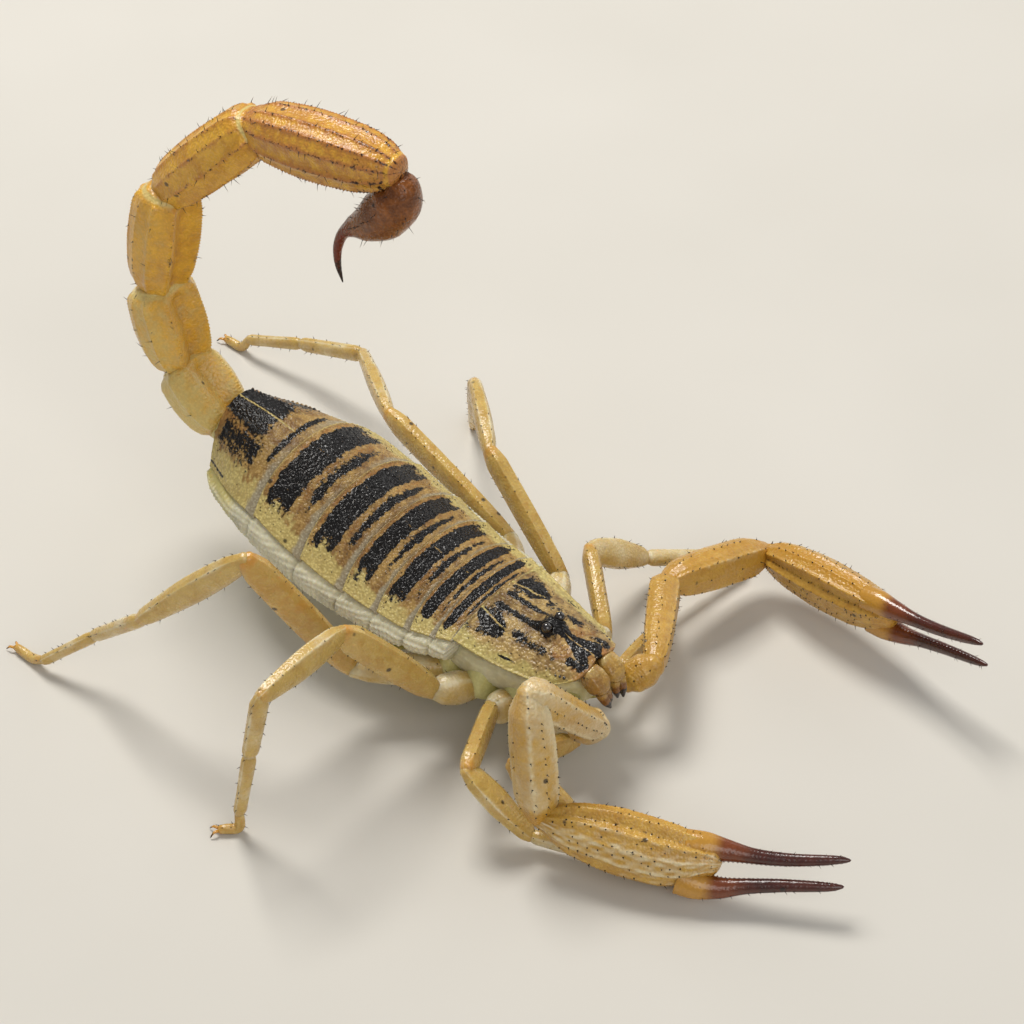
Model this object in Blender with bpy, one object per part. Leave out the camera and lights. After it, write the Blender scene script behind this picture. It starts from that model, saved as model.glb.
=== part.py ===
"""A desert scorpion of the family Buthidae at life size, alert, with the tail over its back.

The animal faces -Y, its right side is toward -X and the floor it stands on is Z = 0.  Every
length below is in millimetres and every angle in degrees; add_solid() turns millimetres into
metres.  A heading is read from above: 0 is straight ahead (-Y) and +90 is the animal's left
(+X).  A pitch is how far a segment rises above the level.
"""

import math

import bmesh
import bpy
import numpy as np

MM = 0.001
GAP = 0.3                    # clearance between neighbouring pieces

# ---------------------------------------------------------------- trunk
CARAPACE_LENGTH = 6.0
CARAPACE_REAR_HALF_WIDTH = 3.1
CARAPACE_FRONT_HALF_WIDTH = 1.75
CARAPACE_MIDLINE = 6.1
CARAPACE_EDGE = 5.5
CARAPACE_UNDERSIDE = 3.75
EYE_TUBERCLE_Y = -3.3
EYE_TUBERCLE_RISE = 0.5
EYE_RADIUS = 0.21
EYE_HALF_SPACING = 0.34
EYE_HEIGHT = 6.22
COXAE_UNDERSIDE = 1.9
COXAE_TOP = 3.3
COXAE_HALF_WIDTH = 2.15
CHELICERA_LENGTH = 1.35
CHELICERA_SPACING = 0.74     # from the midline
CHELICERA_HEIGHT = 4.85
CHELICERA_PITCH = -26
JAW_LENGTH = 0.95
JAW_PITCH = -68

# The trunk at each border: (y, midline height, edge height, half width, belly height)
TRUNK_STATIONS = (
    (0.0, 6.10, 5.50, 3.15, 3.10),
    (1.0, 6.20, 5.35, 3.40, 3.00),
    (2.3, 6.45, 5.20, 3.65, 2.90),
    (4.1, 6.85, 5.40, 3.90, 2.85),
    (6.0, 7.45, 5.75, 4.10, 2.95),
    (8.5, 8.20, 6.30, 4.20, 3.25),
    (11.6, 8.95, 7.00, 3.95, 4.00),
    (13.8, 9.25, 6.90, 3.35, 4.80),
    (15.9, 9.30, 6.60, 2.40, 5.60),
)
TERGITE_BORDERS = (0.0, 1.0, 2.3, 4.1, 6.0, 8.5, 11.6, 15.9)
STERNITE_BORDERS = (2.6, 5.2, 7.8, 10.4, 12.9, 15.9)
PLEURA_STATIONS = (0.25, 1.0, 2.3, 4.1, 6.0, 8.5, 11.6, 13.2, 14.4)
PLATE_THICKNESS = 0.45
PLATE_TILT = 0.12            # how far a plate's hind rim stands above its front rim's line
BELLY_REACH = 0.80           # share of the half width that a belly plate covers
BELLY_WALL = 0.36            # share of the side wall's height that a belly plate climbs
MEMBRANE_BULGE = 0.35
FULL_BULGE_ROOM = 0.45        # room between the plates at which the membrane bulges in full
ARCH_POWER = 2.3
ACROSS_STEPS = 11

PECTEN_LENGTH = 3.3
PECTEN_SWEEP = 32            # degrees back from square
PECTEN_TEETH = 13
PECTEN_Y = 2.0
PECTEN_HEIGHTS = (1.95, 2.4)

# ---------------------------------------------------------------- tail
TAIL_ROOT = (-0.1, 16.75, 7.2)
# (length, heading, pitch, half width, half height): a heading of 180 points straight back
TAIL_SEGMENTS = (
    (3.5, 180, 40, 1.62, 1.48),
    (4.4, 184, 75, 1.60, 1.48),
    (5.6, 35, 81, 1.50, 1.42),
    (6.8, 17, 45, 1.38, 1.36),
    (7.6, 6, 5, 1.42, 1.36),
)
# The bulb and sting curl in one upright plane: (length, turn from straight ahead downward)
TELSON_HEADING = 14
TELSON_STEPS = ((0.7, 75), (0.9, 110), (1.1, 128), (1.5, 140), (1.2, 141), (0.9, 122), (0.8, 92), (0.7, 60))
TELSON_HALF_WIDTHS = (0.48, 0.86, 1.08, 1.10, 0.80, 0.40, 0.28, 0.25, 0.12)
TELSON_HALF_HEIGHTS = (0.40, 0.70, 1.00, 1.00, 0.68, 0.36, 0.27, 0.25, 0.12)

# ---------------------------------------------------------------- pedipalps
PALP_LENGTHS = (5.75, 6.2)   # femur, patella
PALM_LENGTH = 7.8
CHELA_LENGTH = 13.6
PALM_HALF_BREADTH = 1.42
PALM_HALF_DEPTH = 1.02
FINGER_SPREAD = 0.92         # half the distance between the finger bases
FINGER_CURL = 1.4            # how far the finger tips lean over to the fixed finger's side
FINGER_HALF_THICKNESS = 0.30
# per side: the coxa's end, the trochanter's end, (heading, pitch) of femur, patella and palm,
# and how far the palm's broad axis leans up toward the body
PALP_POSES = {
    "right": ((-1.75, -6.2, 3.1), (-2.07, -7.62, 4.0), (-106, 49), (-36, -72), (23, -5), 50),
    "left": ((1.75, -6.2, 3.1), (2.88, -6.95, 3.8), (123, -3), (76, -12), (-5, 6), 54),
}

# ---------------------------------------------------------------- legs
LEG_LENGTHS = {              # femur, patella, tibia, basitarsus, telotarsus
    1: (3.4, 3.4, 2.6, 2.3, 1.5),
    2: (4.7, 4.3, 3.1, 2.8, 1.6),
    3: (6.8, 5.4, 3.9, 3.8, 1.6),
    4: (9.0, 7.1, 4.6, 3.6, 2.1),
}
LEG_SCALE = {1: 0.84, 2: 0.92, 3: 1.0, 4: 1.0}
FOOT_RADIUS = 0.26
# per side and leg: hip, trochanter's end, then (heading, pitch) of femur, patella, tibia and
# basitarsus, and the heading of the foot, whose pitch follows from the floor
LEG_POSES = {
    ("right", 1): ((-1.85, -4.6, 2.4), (-1.75, -6.1, 2.0), (-108, 4), (6, -18), (22, -8), (22, -8), 20),
    ("right", 2): ((-2.6, -2.9, 2.8), (-3.6, -2.7, 3.2), (-63, 9), (20, -46), (21, -3), (26, -6), 23),
    ("right", 3): ((-2.7, -0.9, 2.8), (-4.42, 0.0, 3.26), (-116, 51), (-88, 3), (-165, -79), (-142, -80), -134),
    ("right", 4): ((-2.6, 0.9, 2.6), (-5.67, 3.88, 3.2), (-125, 60), (-154, -43), (-180, -43), (-155, -40), 178),
    ("left", 1): ((1.9, -4.6, 2.6), (2.45, -5.2, 2.5), (100, -11), (118, -4), (80, -8), (76, -12), 90),
    ("left", 2): ((2.6, -3.1, 2.8), (3.7, -3.4, 2.9), (138, 13), (78, -35), (51, -9), (63, -7), 53),
    ("left", 3): ((2.7, -0.9, 2.8), (4.8, 0.16, 3.6), (166, 34), (138, -3), (133, -54), (131, -56), 131),
    ("left", 4): ((2.6, 0.9, 2.6), (5.7, 4.0, 3.06), (173, 16), (143, -14), (180, -20), (-172, -19), -179),
}

# ---------------------------------------------------------------- finishes: colour, roughness
STRAW = ((0.62, 0.43, 0.16), 0.42)
AMBER = ((0.60, 0.33, 0.08), 0.40)
TAN = ((0.42, 0.28, 0.12), 0.50)
BANDED = ((0.16, 0.11, 0.06), 0.50)
MEMBRANE = ((0.38, 0.33, 0.24), 0.55)
BELLY = ((0.55, 0.50, 0.28), 0.45)
TAIL_AMBER = ((0.66, 0.40, 0.10), 0.42)
TAIL_BROWN = ((0.34, 0.15, 0.05), 0.40)
STING_BROWN = ((0.12, 0.03, 0.015), 0.30)
FINGER_BROWN = ((0.10, 0.025, 0.015), 0.32)
EYE_BLACK = ((0.01, 0.01, 0.012), 0.08)


# ================================================================ helpers
def direction(heading, pitch):
    """Unit vector of a segment with this heading and pitch."""
    h = math.radians(heading)
    p = math.radians(pitch)
    return np.array([math.sin(h) * math.cos(p), -math.cos(h) * math.cos(p), math.sin(p)])


def level_side(heading):
    """Level unit vector square to a heading, on the left of it."""
    h = math.radians(heading)
    return np.array([math.cos(h), math.sin(h), 0.0])


def unit(vector):
    """The vector scaled to length one."""
    return vector / np.linalg.norm(vector)


def square_to(axis, side):
    """The part of a side vector that is square to an axis, at length one."""
    return unit(side - axis * np.dot(side, axis))


def material(name, finish):
    """Principled material of a finish, a (colour, roughness) pair."""
    colour, roughness = finish
    made = bpy.data.materials.new(name)
    made.use_nodes = True
    shader = made.node_tree.nodes["Principled BSDF"]
    shader.inputs["Base Color"].default_value = (*colour, 1.0)
    shader.inputs["Roughness"].default_value = roughness
    shader.inputs["Metallic"].default_value = 0.0
    made.diffuse_color = (*colour, 1.0)
    return made


def add_solid(name, rings, finish, cap="fan"):
    """Join closed rings of equal length into one closed solid.

    cap "fan" closes each end around its middle; "strip" closes a crescent whose ring runs along
    its outer side and back along its inner side; "face" closes a flat end of any outline.
    """
    rings = [np.asarray(points, float) * MM for points in rings]
    count = len(rings[0])
    mesh = bmesh.new()
    loops = [[mesh.verts.new(point) for point in points] for points in rings]
    for lower, upper in zip(loops, loops[1:]):
        for i in range(count):
            j = (i + 1) % count
            mesh.faces.new((lower[i], lower[j], upper[j], upper[i]))
    for loop, points in ((loops[0], rings[0]), (loops[-1], rings[-1])):
        if cap == "face":
            mesh.faces.new(loop)
        elif cap == "fan":
            centre = mesh.verts.new(points.mean(axis=0))
            for i in range(count):
                mesh.faces.new((loop[i], loop[(i + 1) % count], centre))
        else:
            for i in range(count // 2 - 1):
                mesh.faces.new((loop[i], loop[i + 1], loop[count - 2 - i], loop[count - 1 - i]))
    bmesh.ops.recalc_face_normals(mesh, faces=mesh.faces)
    bmesh.ops.triangulate(mesh, faces=mesh.faces)
    data = bpy.data.meshes.new(name)
    mesh.to_mesh(data)
    mesh.free()
    data.shade_smooth()
    data.set_sharp_from_angle(angle=math.radians(40))
    data.materials.append(material(name + "_finish", finish))
    part = bpy.data.objects.new(name, data)
    bpy.context.collection.objects.link(part)
    return part


def oval(count, power=2.0):
    """Unit superellipse outline as (across, up) pairs, with a level side at the bottom."""
    angle = (np.arange(count) + 0.5) * 2 * math.pi / count + math.pi / 2
    across = np.sign(np.cos(angle)) * np.abs(np.cos(angle)) ** (2 / power)
    up = np.sign(np.sin(angle)) * np.abs(np.sin(angle)) ** (2 / power)
    return np.stack([across, up], axis=1)


def keeled(groove, shoulder, waist, hem):
    """Unit outline with a shallow groove on top and a corner at each keel.

    groove is the middle's height, shoulder the half width at the top keels, waist the half width
    at the lower flank and hem the half width of the underside.
    """
    half = ((0.0, groove), (shoulder, 1.0), (0.95, 0.5), (1.0, -0.05), (waist, -0.62), (hem, -1.0))
    mirrored = [(-x, z) for x, z in reversed(half[1:])]
    return np.array(list(half) + mirrored)


def place_ring(centre, across, up, half_width, half_height, outline):
    """Points of a unit outline placed at a centre with two axes and two half sizes."""
    return (np.asarray(centre)
            + half_width * outline[:, :1] * across
            + half_height * outline[:, 1:] * up)


def bend_ring(centre, before, after, side, size, outline, shift):
    """Ring in the plane that halves a bend between two axes, moved along its normal."""
    normal = unit(before + after)
    across = square_to(normal, side)
    return place_ring(centre + normal * shift, across, np.cross(normal, across), size[0], size[1], outline)


def cut_at_bend(rings, joint, axis, other, sense):
    """Slide points along a segment's axis until none passes the plane that halves a bend.

    sense is +1 for the segment's start and -1 for its end; the plane stands half the clearance
    away from the joint.
    """
    normal = unit(axis + other) * sense
    origin = joint + normal * GAP / 2
    for points in rings:
        passed = np.minimum((points - origin) @ normal, 0.0)
        points -= np.outer(passed / np.dot(axis, normal), axis)


def limb(start, axis, side, length, sizes, outline, before=None, after=None):
    """Rings of one limb segment and its end point.

    sizes lists (fraction of the length, half width, half height).  The first and last rings lie
    in the planes that halve the bends to the neighbouring segments, whose axes are before and
    after; without a neighbour they stay square to the segment.
    """
    start = np.asarray(start, float)
    across = square_to(axis, side)
    up = np.cross(axis, across)
    rings = []
    for index, (fraction, half_width, half_height) in enumerate(sizes):
        centre = start + axis * length * fraction
        size = (half_width, half_height)
        if index == 0 and before is not None:
            rings.append(bend_ring(centre, before, axis, across, size, outline, GAP / 2))
        elif index == len(sizes) - 1 and after is not None:
            rings.append(bend_ring(centre, axis, after, across, size, outline, -GAP / 2))
        else:
            rings.append(place_ring(centre, across, up, half_width, half_height, outline))
    end = start + axis * length
    if before is not None:
        cut_at_bend(rings, start, axis, before, 1)
    if after is not None:
        cut_at_bend(rings, end, axis, after, -1)
    return rings, end


def hermite(table, column, y):
    """Smooth value of one column of a table of stations at y."""
    slopes = np.gradient(table[:, column], table[:, 0])
    k = int(np.clip(np.searchsorted(table[:, 0], y) - 1, 0, len(table) - 2))
    span = table[k + 1, 0] - table[k, 0]
    t = (y - table[k, 0]) / span
    start = (2 * t ** 3 - 3 * t ** 2 + 1) * table[k, column]
    end = (3 * t ** 2 - 2 * t ** 3) * table[k + 1, column]
    bend = (t ** 3 - 2 * t ** 2 + t) * slopes[k] + (t ** 3 - t ** 2) * slopes[k + 1]
    return start + end + span * bend


def trunk_profile(y):
    """Midline height, edge height, half width and belly height of the trunk at y."""
    table = np.array(TRUNK_STATIONS)
    return [hermite(table, column, y) for column in range(1, table.shape[1])]


def crescent(xs, y, outer, inner):
    """Ring of a shell: out along its outer side and back along its inner side."""
    count = len(xs)
    front = np.stack([xs, np.broadcast_to(y, count), outer], axis=1)
    back = np.stack([xs[::-1], np.broadcast_to(y, count), inner[::-1]], axis=1)
    return np.vstack([front, back])


# ================================================================ prosoma
def build_carapace():
    """The shield over the head: a low dome with the tubercle of the median eyes."""
    across = np.linspace(-1, 1, ACROSS_STEPS)
    rings = []
    for fraction in (0.0, 0.12, 0.3, 0.43, 0.5, 0.55, 0.62, 0.7, 0.84, 0.94, 1.0):
        y = -GAP / 2 - fraction * (CARAPACE_LENGTH - GAP / 2)
        spread = (1 - fraction ** 1.35) * (CARAPACE_REAR_HALF_WIDTH - CARAPACE_FRONT_HALF_WIDTH)
        half_width = CARAPACE_FRONT_HALF_WIDTH + spread
        middle = CARAPACE_MIDLINE - 0.35 * fraction
        edge = CARAPACE_EDGE - 0.6 * math.sin(math.pi * fraction * 0.75)
        height = edge + (middle - edge) * (1 - np.abs(across) ** ARCH_POWER)
        bump = EYE_TUBERCLE_RISE * math.exp(-((y - EYE_TUBERCLE_Y) / 0.75) ** 2)
        height = height + bump * np.exp(-(across * half_width / 0.5) ** 4)
        inset = half_width - 0.5
        points = crescent(across * half_width, y, height, np.full(ACROSS_STEPS, CARAPACE_UNDERSIDE))
        points[ACROSS_STEPS:, 0] *= inset / half_width
        rings.append(points)
    add_solid("carapace", rings, TAN, cap="strip")


def build_median_eye(name, sign):
    """One glossy lens on the flank of the tubercle."""
    outward = unit(np.array([sign * 0.8, -0.15, 0.6]))
    along = square_to(outward, np.array([0.0, 1.0, 0.0]))
    third = np.cross(outward, along)
    root = np.array([sign * EYE_HALF_SPACING, EYE_TUBERCLE_Y, EYE_HEIGHT]) + outward * 0.34
    rings = []
    for latitude in (-40, -10, 20, 50, 75):
        radius = EYE_RADIUS * math.cos(math.radians(latitude))
        rise = EYE_RADIUS * math.sin(math.radians(latitude))
        rings.append(place_ring(root + outward * rise, along, third, radius, radius, oval(8)))
    add_solid("median_eye_" + name, rings, EYE_BLACK)


def build_coxosternum():
    """The underside of the head: the leg bases closed into one plate."""
    outline = oval(12, 3.0)
    middle = (COXAE_TOP + COXAE_UNDERSIDE) / 2
    half_height = (COXAE_TOP - COXAE_UNDERSIDE) / 2
    stations = ((-5.5, 0.34, 0.6), (-5.0, 0.55, 0.9), (-3.8, 0.78, 1.0), (-2.0, 0.98, 1.0),
                (-0.2, 1.0, 0.95), (1.0, 0.86, 0.8), (1.55, 0.6, 0.5))
    rings = []
    for y, width, height in stations:
        rings.append(place_ring((0, y, middle), level_side(0), np.array([0, 0, 1.0]),
                                COXAE_HALF_WIDTH * width, half_height * height, outline))
    add_solid("coxosternum", rings, BELLY)


def build_chelicera(name, sign):
    """One jaw: a plump hand in front of the carapace with a short dark pincer."""
    outline = oval(10, 2.4)
    start = np.array([sign * CHELICERA_SPACING, -CARAPACE_LENGTH - GAP, CHELICERA_HEIGHT])
    sizes = ((0.0, 0.50, 0.60), (0.25, 0.60, 0.74), (0.6, 0.56, 0.68), (0.85, 0.42, 0.5))
    axis = direction(0, CHELICERA_PITCH)
    side = level_side(0)
    hand, wrist = limb(start, axis, side, CHELICERA_LENGTH, sizes, outline)
    finger_axis = direction(-8 * sign, JAW_PITCH)
    sizes = ((0.25, 0.34, 0.32), (0.6, 0.27, 0.25), (1.0, 0.12, 0.14))
    finger, _ = limb(wrist, finger_axis, side, JAW_LENGTH, sizes, outline)
    add_solid("chelicera_" + name, hand + finger, AMBER)


# ================================================================ mesosoma
def build_tergite(number, start, end):
    """One back plate, a thin arch whose hind rim stands up a little."""
    across = np.linspace(-1, 1, ACROSS_STEPS)
    rings = []
    for fraction in (0.0, 0.5, 1.0):
        y = start + (end - start) * fraction
        middle, edge, half_width, _ = trunk_profile(y)
        outer = edge + (middle - edge) * (1 - np.abs(across) ** ARCH_POWER) + PLATE_TILT * (fraction - 1)
        inner = outer - PLATE_THICKNESS * (1 - 0.4 * across ** 2)
        rings.append(crescent(across * half_width, y, outer, inner))
    add_solid("tergite_%d" % number, rings, BANDED, cap="strip")


def build_sternite(number, start, end):
    """One belly plate, a thin trough."""
    across = np.linspace(-1, 1, ACROSS_STEPS)
    rings = []
    for fraction in (0.0, 0.5, 1.0):
        y = start + (end - start) * fraction
        _, edge, half_width, belly = trunk_profile(y)
        outer = belly + BELLY_WALL * (edge - belly) * np.abs(across) ** ARCH_POWER
        outer = outer + PLATE_TILT * (1 - fraction)
        inner = outer + PLATE_THICKNESS * (1 - 0.4 * across ** 2)
        rings.append(crescent(across * half_width * BELLY_REACH, y, outer, inner))
    add_solid("sternite_%d" % number, rings, BELLY, cap="strip")


def build_pleura():
    """The soft body between the plates, which swells out along each side."""
    clear = PLATE_THICKNESS + GAP
    rings = []
    for y in PLEURA_STATIONS:
        middle, edge, half_width, belly = trunk_profile(y)
        top = middle - clear - PLATE_TILT
        shoulder = edge - 0.6 * PLATE_THICKNESS - GAP
        low = belly + clear + PLATE_TILT
        wall = belly + BELLY_WALL * (edge - belly)
        hip = wall + GAP
        room = shoulder - hip
        bulge = half_width + MEMBRANE_BULGE * min(room / FULL_BULGE_ROOM, 1.0)
        flank = ((0.0, top),
                 (half_width * 0.45, top - 0.17 * (top - shoulder)),
                 (half_width * 0.78, top - 0.62 * (top - shoulder)),
                 (half_width * 0.97, shoulder),
                 (bulge, shoulder - 0.3 * room),
                 (bulge, hip + 0.3 * room),
                 (half_width * 0.96, hip),
                 (half_width * BELLY_REACH, wall + 0.65),
                 (half_width * 0.36, low + 0.05),
                 (0.0, low))
        mirrored = [(-x, z) for x, z in reversed(flank[1:-1])]
        rings.append(np.array([(x, y, z) for x, z in list(flank) + mirrored]))
    add_solid("pleura", rings, MEMBRANE, cap="face")


def build_pectines():
    """The two combs behind the last leg bases, joined at the middle, with blunt teeth."""
    steps = 4 * PECTEN_TEETH + 1
    share = np.linspace(-1, 1, steps)
    sweep = math.radians(PECTEN_SWEEP)
    xs = PECTEN_LENGTH * math.cos(sweep) * share
    front = PECTEN_Y + PECTEN_LENGTH * math.sin(sweep) * np.abs(share) ** 1.3
    tooth = 0.35 * (np.arange(steps) % 2) * (np.abs(share) > 0.12)
    back = front + 0.85 - 0.35 * np.abs(share) + tooth
    outline = np.vstack([np.stack([xs, front], axis=1), np.stack([xs, back], axis=1)[::-1]])
    rings = [np.column_stack([outline, np.full(2 * steps, height)]) for height in PECTEN_HEIGHTS]
    add_solid("pectines", rings, BELLY, cap="strip")


# ================================================================ tail
def tail_profile(last):
    """(fraction, share of the half width, share of the half height) along a tail segment."""
    if last:
        return ((0.0, 0.70, 0.68), (0.14, 0.92, 0.90), (0.42, 1.0, 1.0), (0.72, 0.92, 0.92),
                (0.90, 0.74, 0.72), (1.0, 0.48, 0.40))
    return ((0.0, 0.74, 0.70), (0.18, 0.88, 0.88), (0.55, 0.96, 0.96), (0.84, 1.0, 1.0),
            (1.0, 0.80, 0.72))


def build_tail():
    """Five keeled segments in an arch over the back, then the bulb with its sting."""
    outline = keeled(0.80, 0.56, 0.86, 0.38)
    axes = [direction(heading, pitch) for _, heading, pitch, _, _ in TAIL_SEGMENTS]
    side = level_side(180)
    joint = np.array(TAIL_ROOT)
    for index, (length, _, _, half_width, half_height) in enumerate(TAIL_SEGMENTS):
        last = index == len(TAIL_SEGMENTS) - 1
        sizes = [(f, w * half_width, h * half_height) for f, w, h in tail_profile(last)]
        before = axes[index - 1] if index else None
        after = direction(TELSON_HEADING, -TELSON_STEPS[0][1]) if last else axes[index + 1]
        rings, joint = limb(joint, axes[index], side, length, sizes, outline, before, after)
        finish = TAIL_BROWN if last else TAIL_AMBER
        add_solid("metasoma_%d" % (index + 1), rings, finish)
    build_telson(joint, axes[-1])


def build_telson(joint, before):
    """The bulb and the sting, one curling solid that hangs from the tail's end."""
    ahead = direction(TELSON_HEADING, 0)
    side = -level_side(TELSON_HEADING)
    down = np.array([0.0, 0.0, -1.0])
    turns = [math.radians(turn) for _, turn in TELSON_STEPS]
    centres = [joint + (0.2 * ahead + down) * GAP]
    for length, turn in TELSON_STEPS:
        step = ahead * math.cos(math.radians(turn)) + down * math.sin(math.radians(turn))
        centres.append(centres[-1] + step * length)
    outline = oval(10)
    rings = []
    for index, centre in enumerate(centres):
        mean = (turns[max(index - 1, 0)] + turns[min(index, len(turns) - 1)]) / 2
        axis = ahead * math.cos(mean) + down * math.sin(mean)
        rings.append(place_ring(centre, side, np.cross(axis, side),
                                TELSON_HALF_WIDTHS[index], TELSON_HALF_HEIGHTS[index], outline))
    first = direction(TELSON_HEADING, -TELSON_STEPS[0][1])
    cut_at_bend(rings[:2], joint, first, before, 1)
    add_solid("telson", rings, STING_BROWN)


# ================================================================ pedipalps
def build_palp(name, pose):
    """One pincer arm, from the knob at its base to the two fingers."""
    sign = -1 if name == "right" else 1
    coxa_end = np.array(pose[0])
    elbow_start = np.array(pose[1])
    femur_axis, patella_axis, palm_axis = [direction(*angles) for angles in pose[2:5]]
    knob_axis = unit(elbow_start - coxa_end)
    side = level_side(pose[2][0])
    outline = oval(10, 2.3)
    length = np.linalg.norm(elbow_start - coxa_end)
    sizes = ((0.0, 0.55, 0.60), (0.25, 0.78, 0.82), (0.65, 0.80, 0.84), (1.0, 0.52, 0.56))
    rings, _ = limb(coxa_end, knob_axis, side, length, sizes, outline, None, femur_axis)
    add_solid("palp_trochanter_" + name, rings, STRAW)

    arm = keeled(0.86, 0.62, 0.84, 0.45)
    sizes = ((0.0, 0.46, 0.52), (0.14, 0.60, 0.68), (0.5, 0.70, 0.76), (0.84, 0.74, 0.82), (1.0, 0.52, 0.50))
    rings, elbow = limb(elbow_start, femur_axis, side, PALP_LENGTHS[0], sizes, arm, knob_axis, patella_axis)
    add_solid("palp_femur_" + name, rings, STRAW)

    sizes = ((0.0, 0.50, 0.48), (0.16, 0.78, 0.82), (0.45, 0.90, 0.96), (0.78, 0.88, 0.92),
             (0.92, 0.66, 0.66), (1.0, 0.46, 0.44))
    rings, wrist = limb(elbow, patella_axis, side, PALP_LENGTHS[1], sizes, arm, femur_axis, palm_axis)
    add_solid("palp_patella_" + name, rings, AMBER)
    inward = -sign * level_side(pose[4][0])
    rise = np.cross(palm_axis, level_side(pose[4][0]))
    roll = math.radians(pose[5])
    build_hand(name, wrist, palm_axis, math.cos(roll) * inward + math.sin(roll) * rise, patella_axis)


def finger_offset(t, side):
    """Distance of a finger's middle from the palm's axis, t running from its base to its tip.

    side is +1 for the fixed finger and -1 for the movable one.
    """
    spread = FINGER_SPREAD - 0.33 * t - 0.16 * math.sin(math.pi * min(max(t, 0.0) * 1.1, 1.0))
    return side * spread + FINGER_CURL * max(t, 0.0) ** 1.2


def build_hand(name, wrist, axis, broad, before):
    """The palm with its fixed finger, and the movable finger on the palm's outer edge."""
    deep = np.cross(axis, broad)
    outline = oval(12, 2.2)
    palm = ((0.0, 0.42, 0.42, 0.0), (0.09, 0.78, 0.72, 0.0), (0.25, 1.20, 0.92, 0.0),
            (0.5, PALM_HALF_BREADTH, PALM_HALF_DEPTH, 0.0), (0.75, 1.38, 0.96, 0.0),
            (0.9, 1.22, 0.80, 0.04), (1.0, 0.60, 0.55, 0.62))
    rings = []
    for index, (share, half_breadth, half_depth, offset) in enumerate(palm):
        centre = wrist + axis * PALM_LENGTH * share + broad * offset
        if index == 0:
            size = (half_breadth, half_depth)
            rings.append(bend_ring(centre, before, axis, broad, size, outline, GAP / 2))
        else:
            rings.append(place_ring(centre, broad, deep, half_breadth, half_depth, outline))
    finger_length = CHELA_LENGTH - PALM_LENGTH
    for t in (0.08, 0.3, 0.55, 0.8, 1.0):
        centre = wrist + axis * (PALM_LENGTH + finger_length * t) + broad * finger_offset(t, 1)
        taper = FINGER_HALF_THICKNESS * (1.15 - 0.35 * t) if t < 1 else 0.12
        rings.append(place_ring(centre, broad, deep, taper * 1.12, taper, outline))
    add_solid("palp_hand_" + name, rings, AMBER)

    rings = []
    for t in (-0.05, 0.12, 0.35, 0.6, 0.82, 1.0):
        centre = wrist + axis * (PALM_LENGTH + finger_length * t) + broad * finger_offset(t, -1)
        taper = FINGER_HALF_THICKNESS * (1.4 - 0.6 * t) if t < 1 else 0.12
        across = unit(broad + 0.68 * axis) if t < 0 else broad
        rings.append(place_ring(centre, across, deep, taper * 1.12, taper, oval(10)))
    add_solid("palp_finger_" + name, rings, FINGER_BROWN)


# ================================================================ legs
def leg_segment(name, start, axis, side, length, stations, scale, finish, before, after):
    """One straight leg segment as a solid; returns its end point."""
    outline = oval(8, 2.2)
    sizes = []
    for fraction, half_width, half_height in stations:
        margin = half_height * scale * 1.0 / length
        if 0 < fraction < 1:
            fraction = min(max(fraction, margin), 1 - margin)
        sizes.append((fraction, half_width * scale, half_height * scale))
    rings, end = limb(start, axis, side, length, sizes, outline, before, after)
    add_solid(name, rings, finish)
    return end


def build_foot(name, points, side, scale, before):
    """Tibia, basitarsus and toe in one bent solid that ends level on the floor."""
    outline = oval(8, 2.2)
    widths = ((0.33, 0.42), (0.26, 0.33), (0.25, 0.27), (0.25, 0.26), (0.25, 0.26))
    axes = [unit(b - a) for a, b in zip(points, points[1:])]
    rings = []
    for index, axis in enumerate(axes):
        start = points[index]
        length = np.linalg.norm(points[index + 1] - start)
        grow = scale if index < 2 else 1.0
        half_width, half_height = widths[index][0] * grow, widths[index][1] * grow
        previous = axes[index - 1] if index else before
        joint = (max(half_width * 0.8, 0.24), max(half_height * 0.8, 0.24))
        shift = GAP / 2 if index == 0 else 0.0
        rings.append(bend_ring(start, previous, axis, side, joint, outline, shift))
        across = square_to(axis, side)
        for fraction in ((0.22, 0.72) if index < 2 else (0.5,)):
            centre = start + axis * length * fraction
            size = (half_width, half_height)
            rings.append(place_ring(centre, across, np.cross(axis, across), size[0], size[1], outline))
    across = square_to(axes[-1], side)
    rings.append(place_ring(points[-1], across, np.cross(axes[-1], across), 0.20, 0.24, outline))
    for points_of_ring in rings[-3:]:
        points_of_ring[:, 2] = np.where(points_of_ring[:, 2] < 0.08, 0.0, points_of_ring[:, 2])
    add_solid(name, rings, STRAW)


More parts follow.
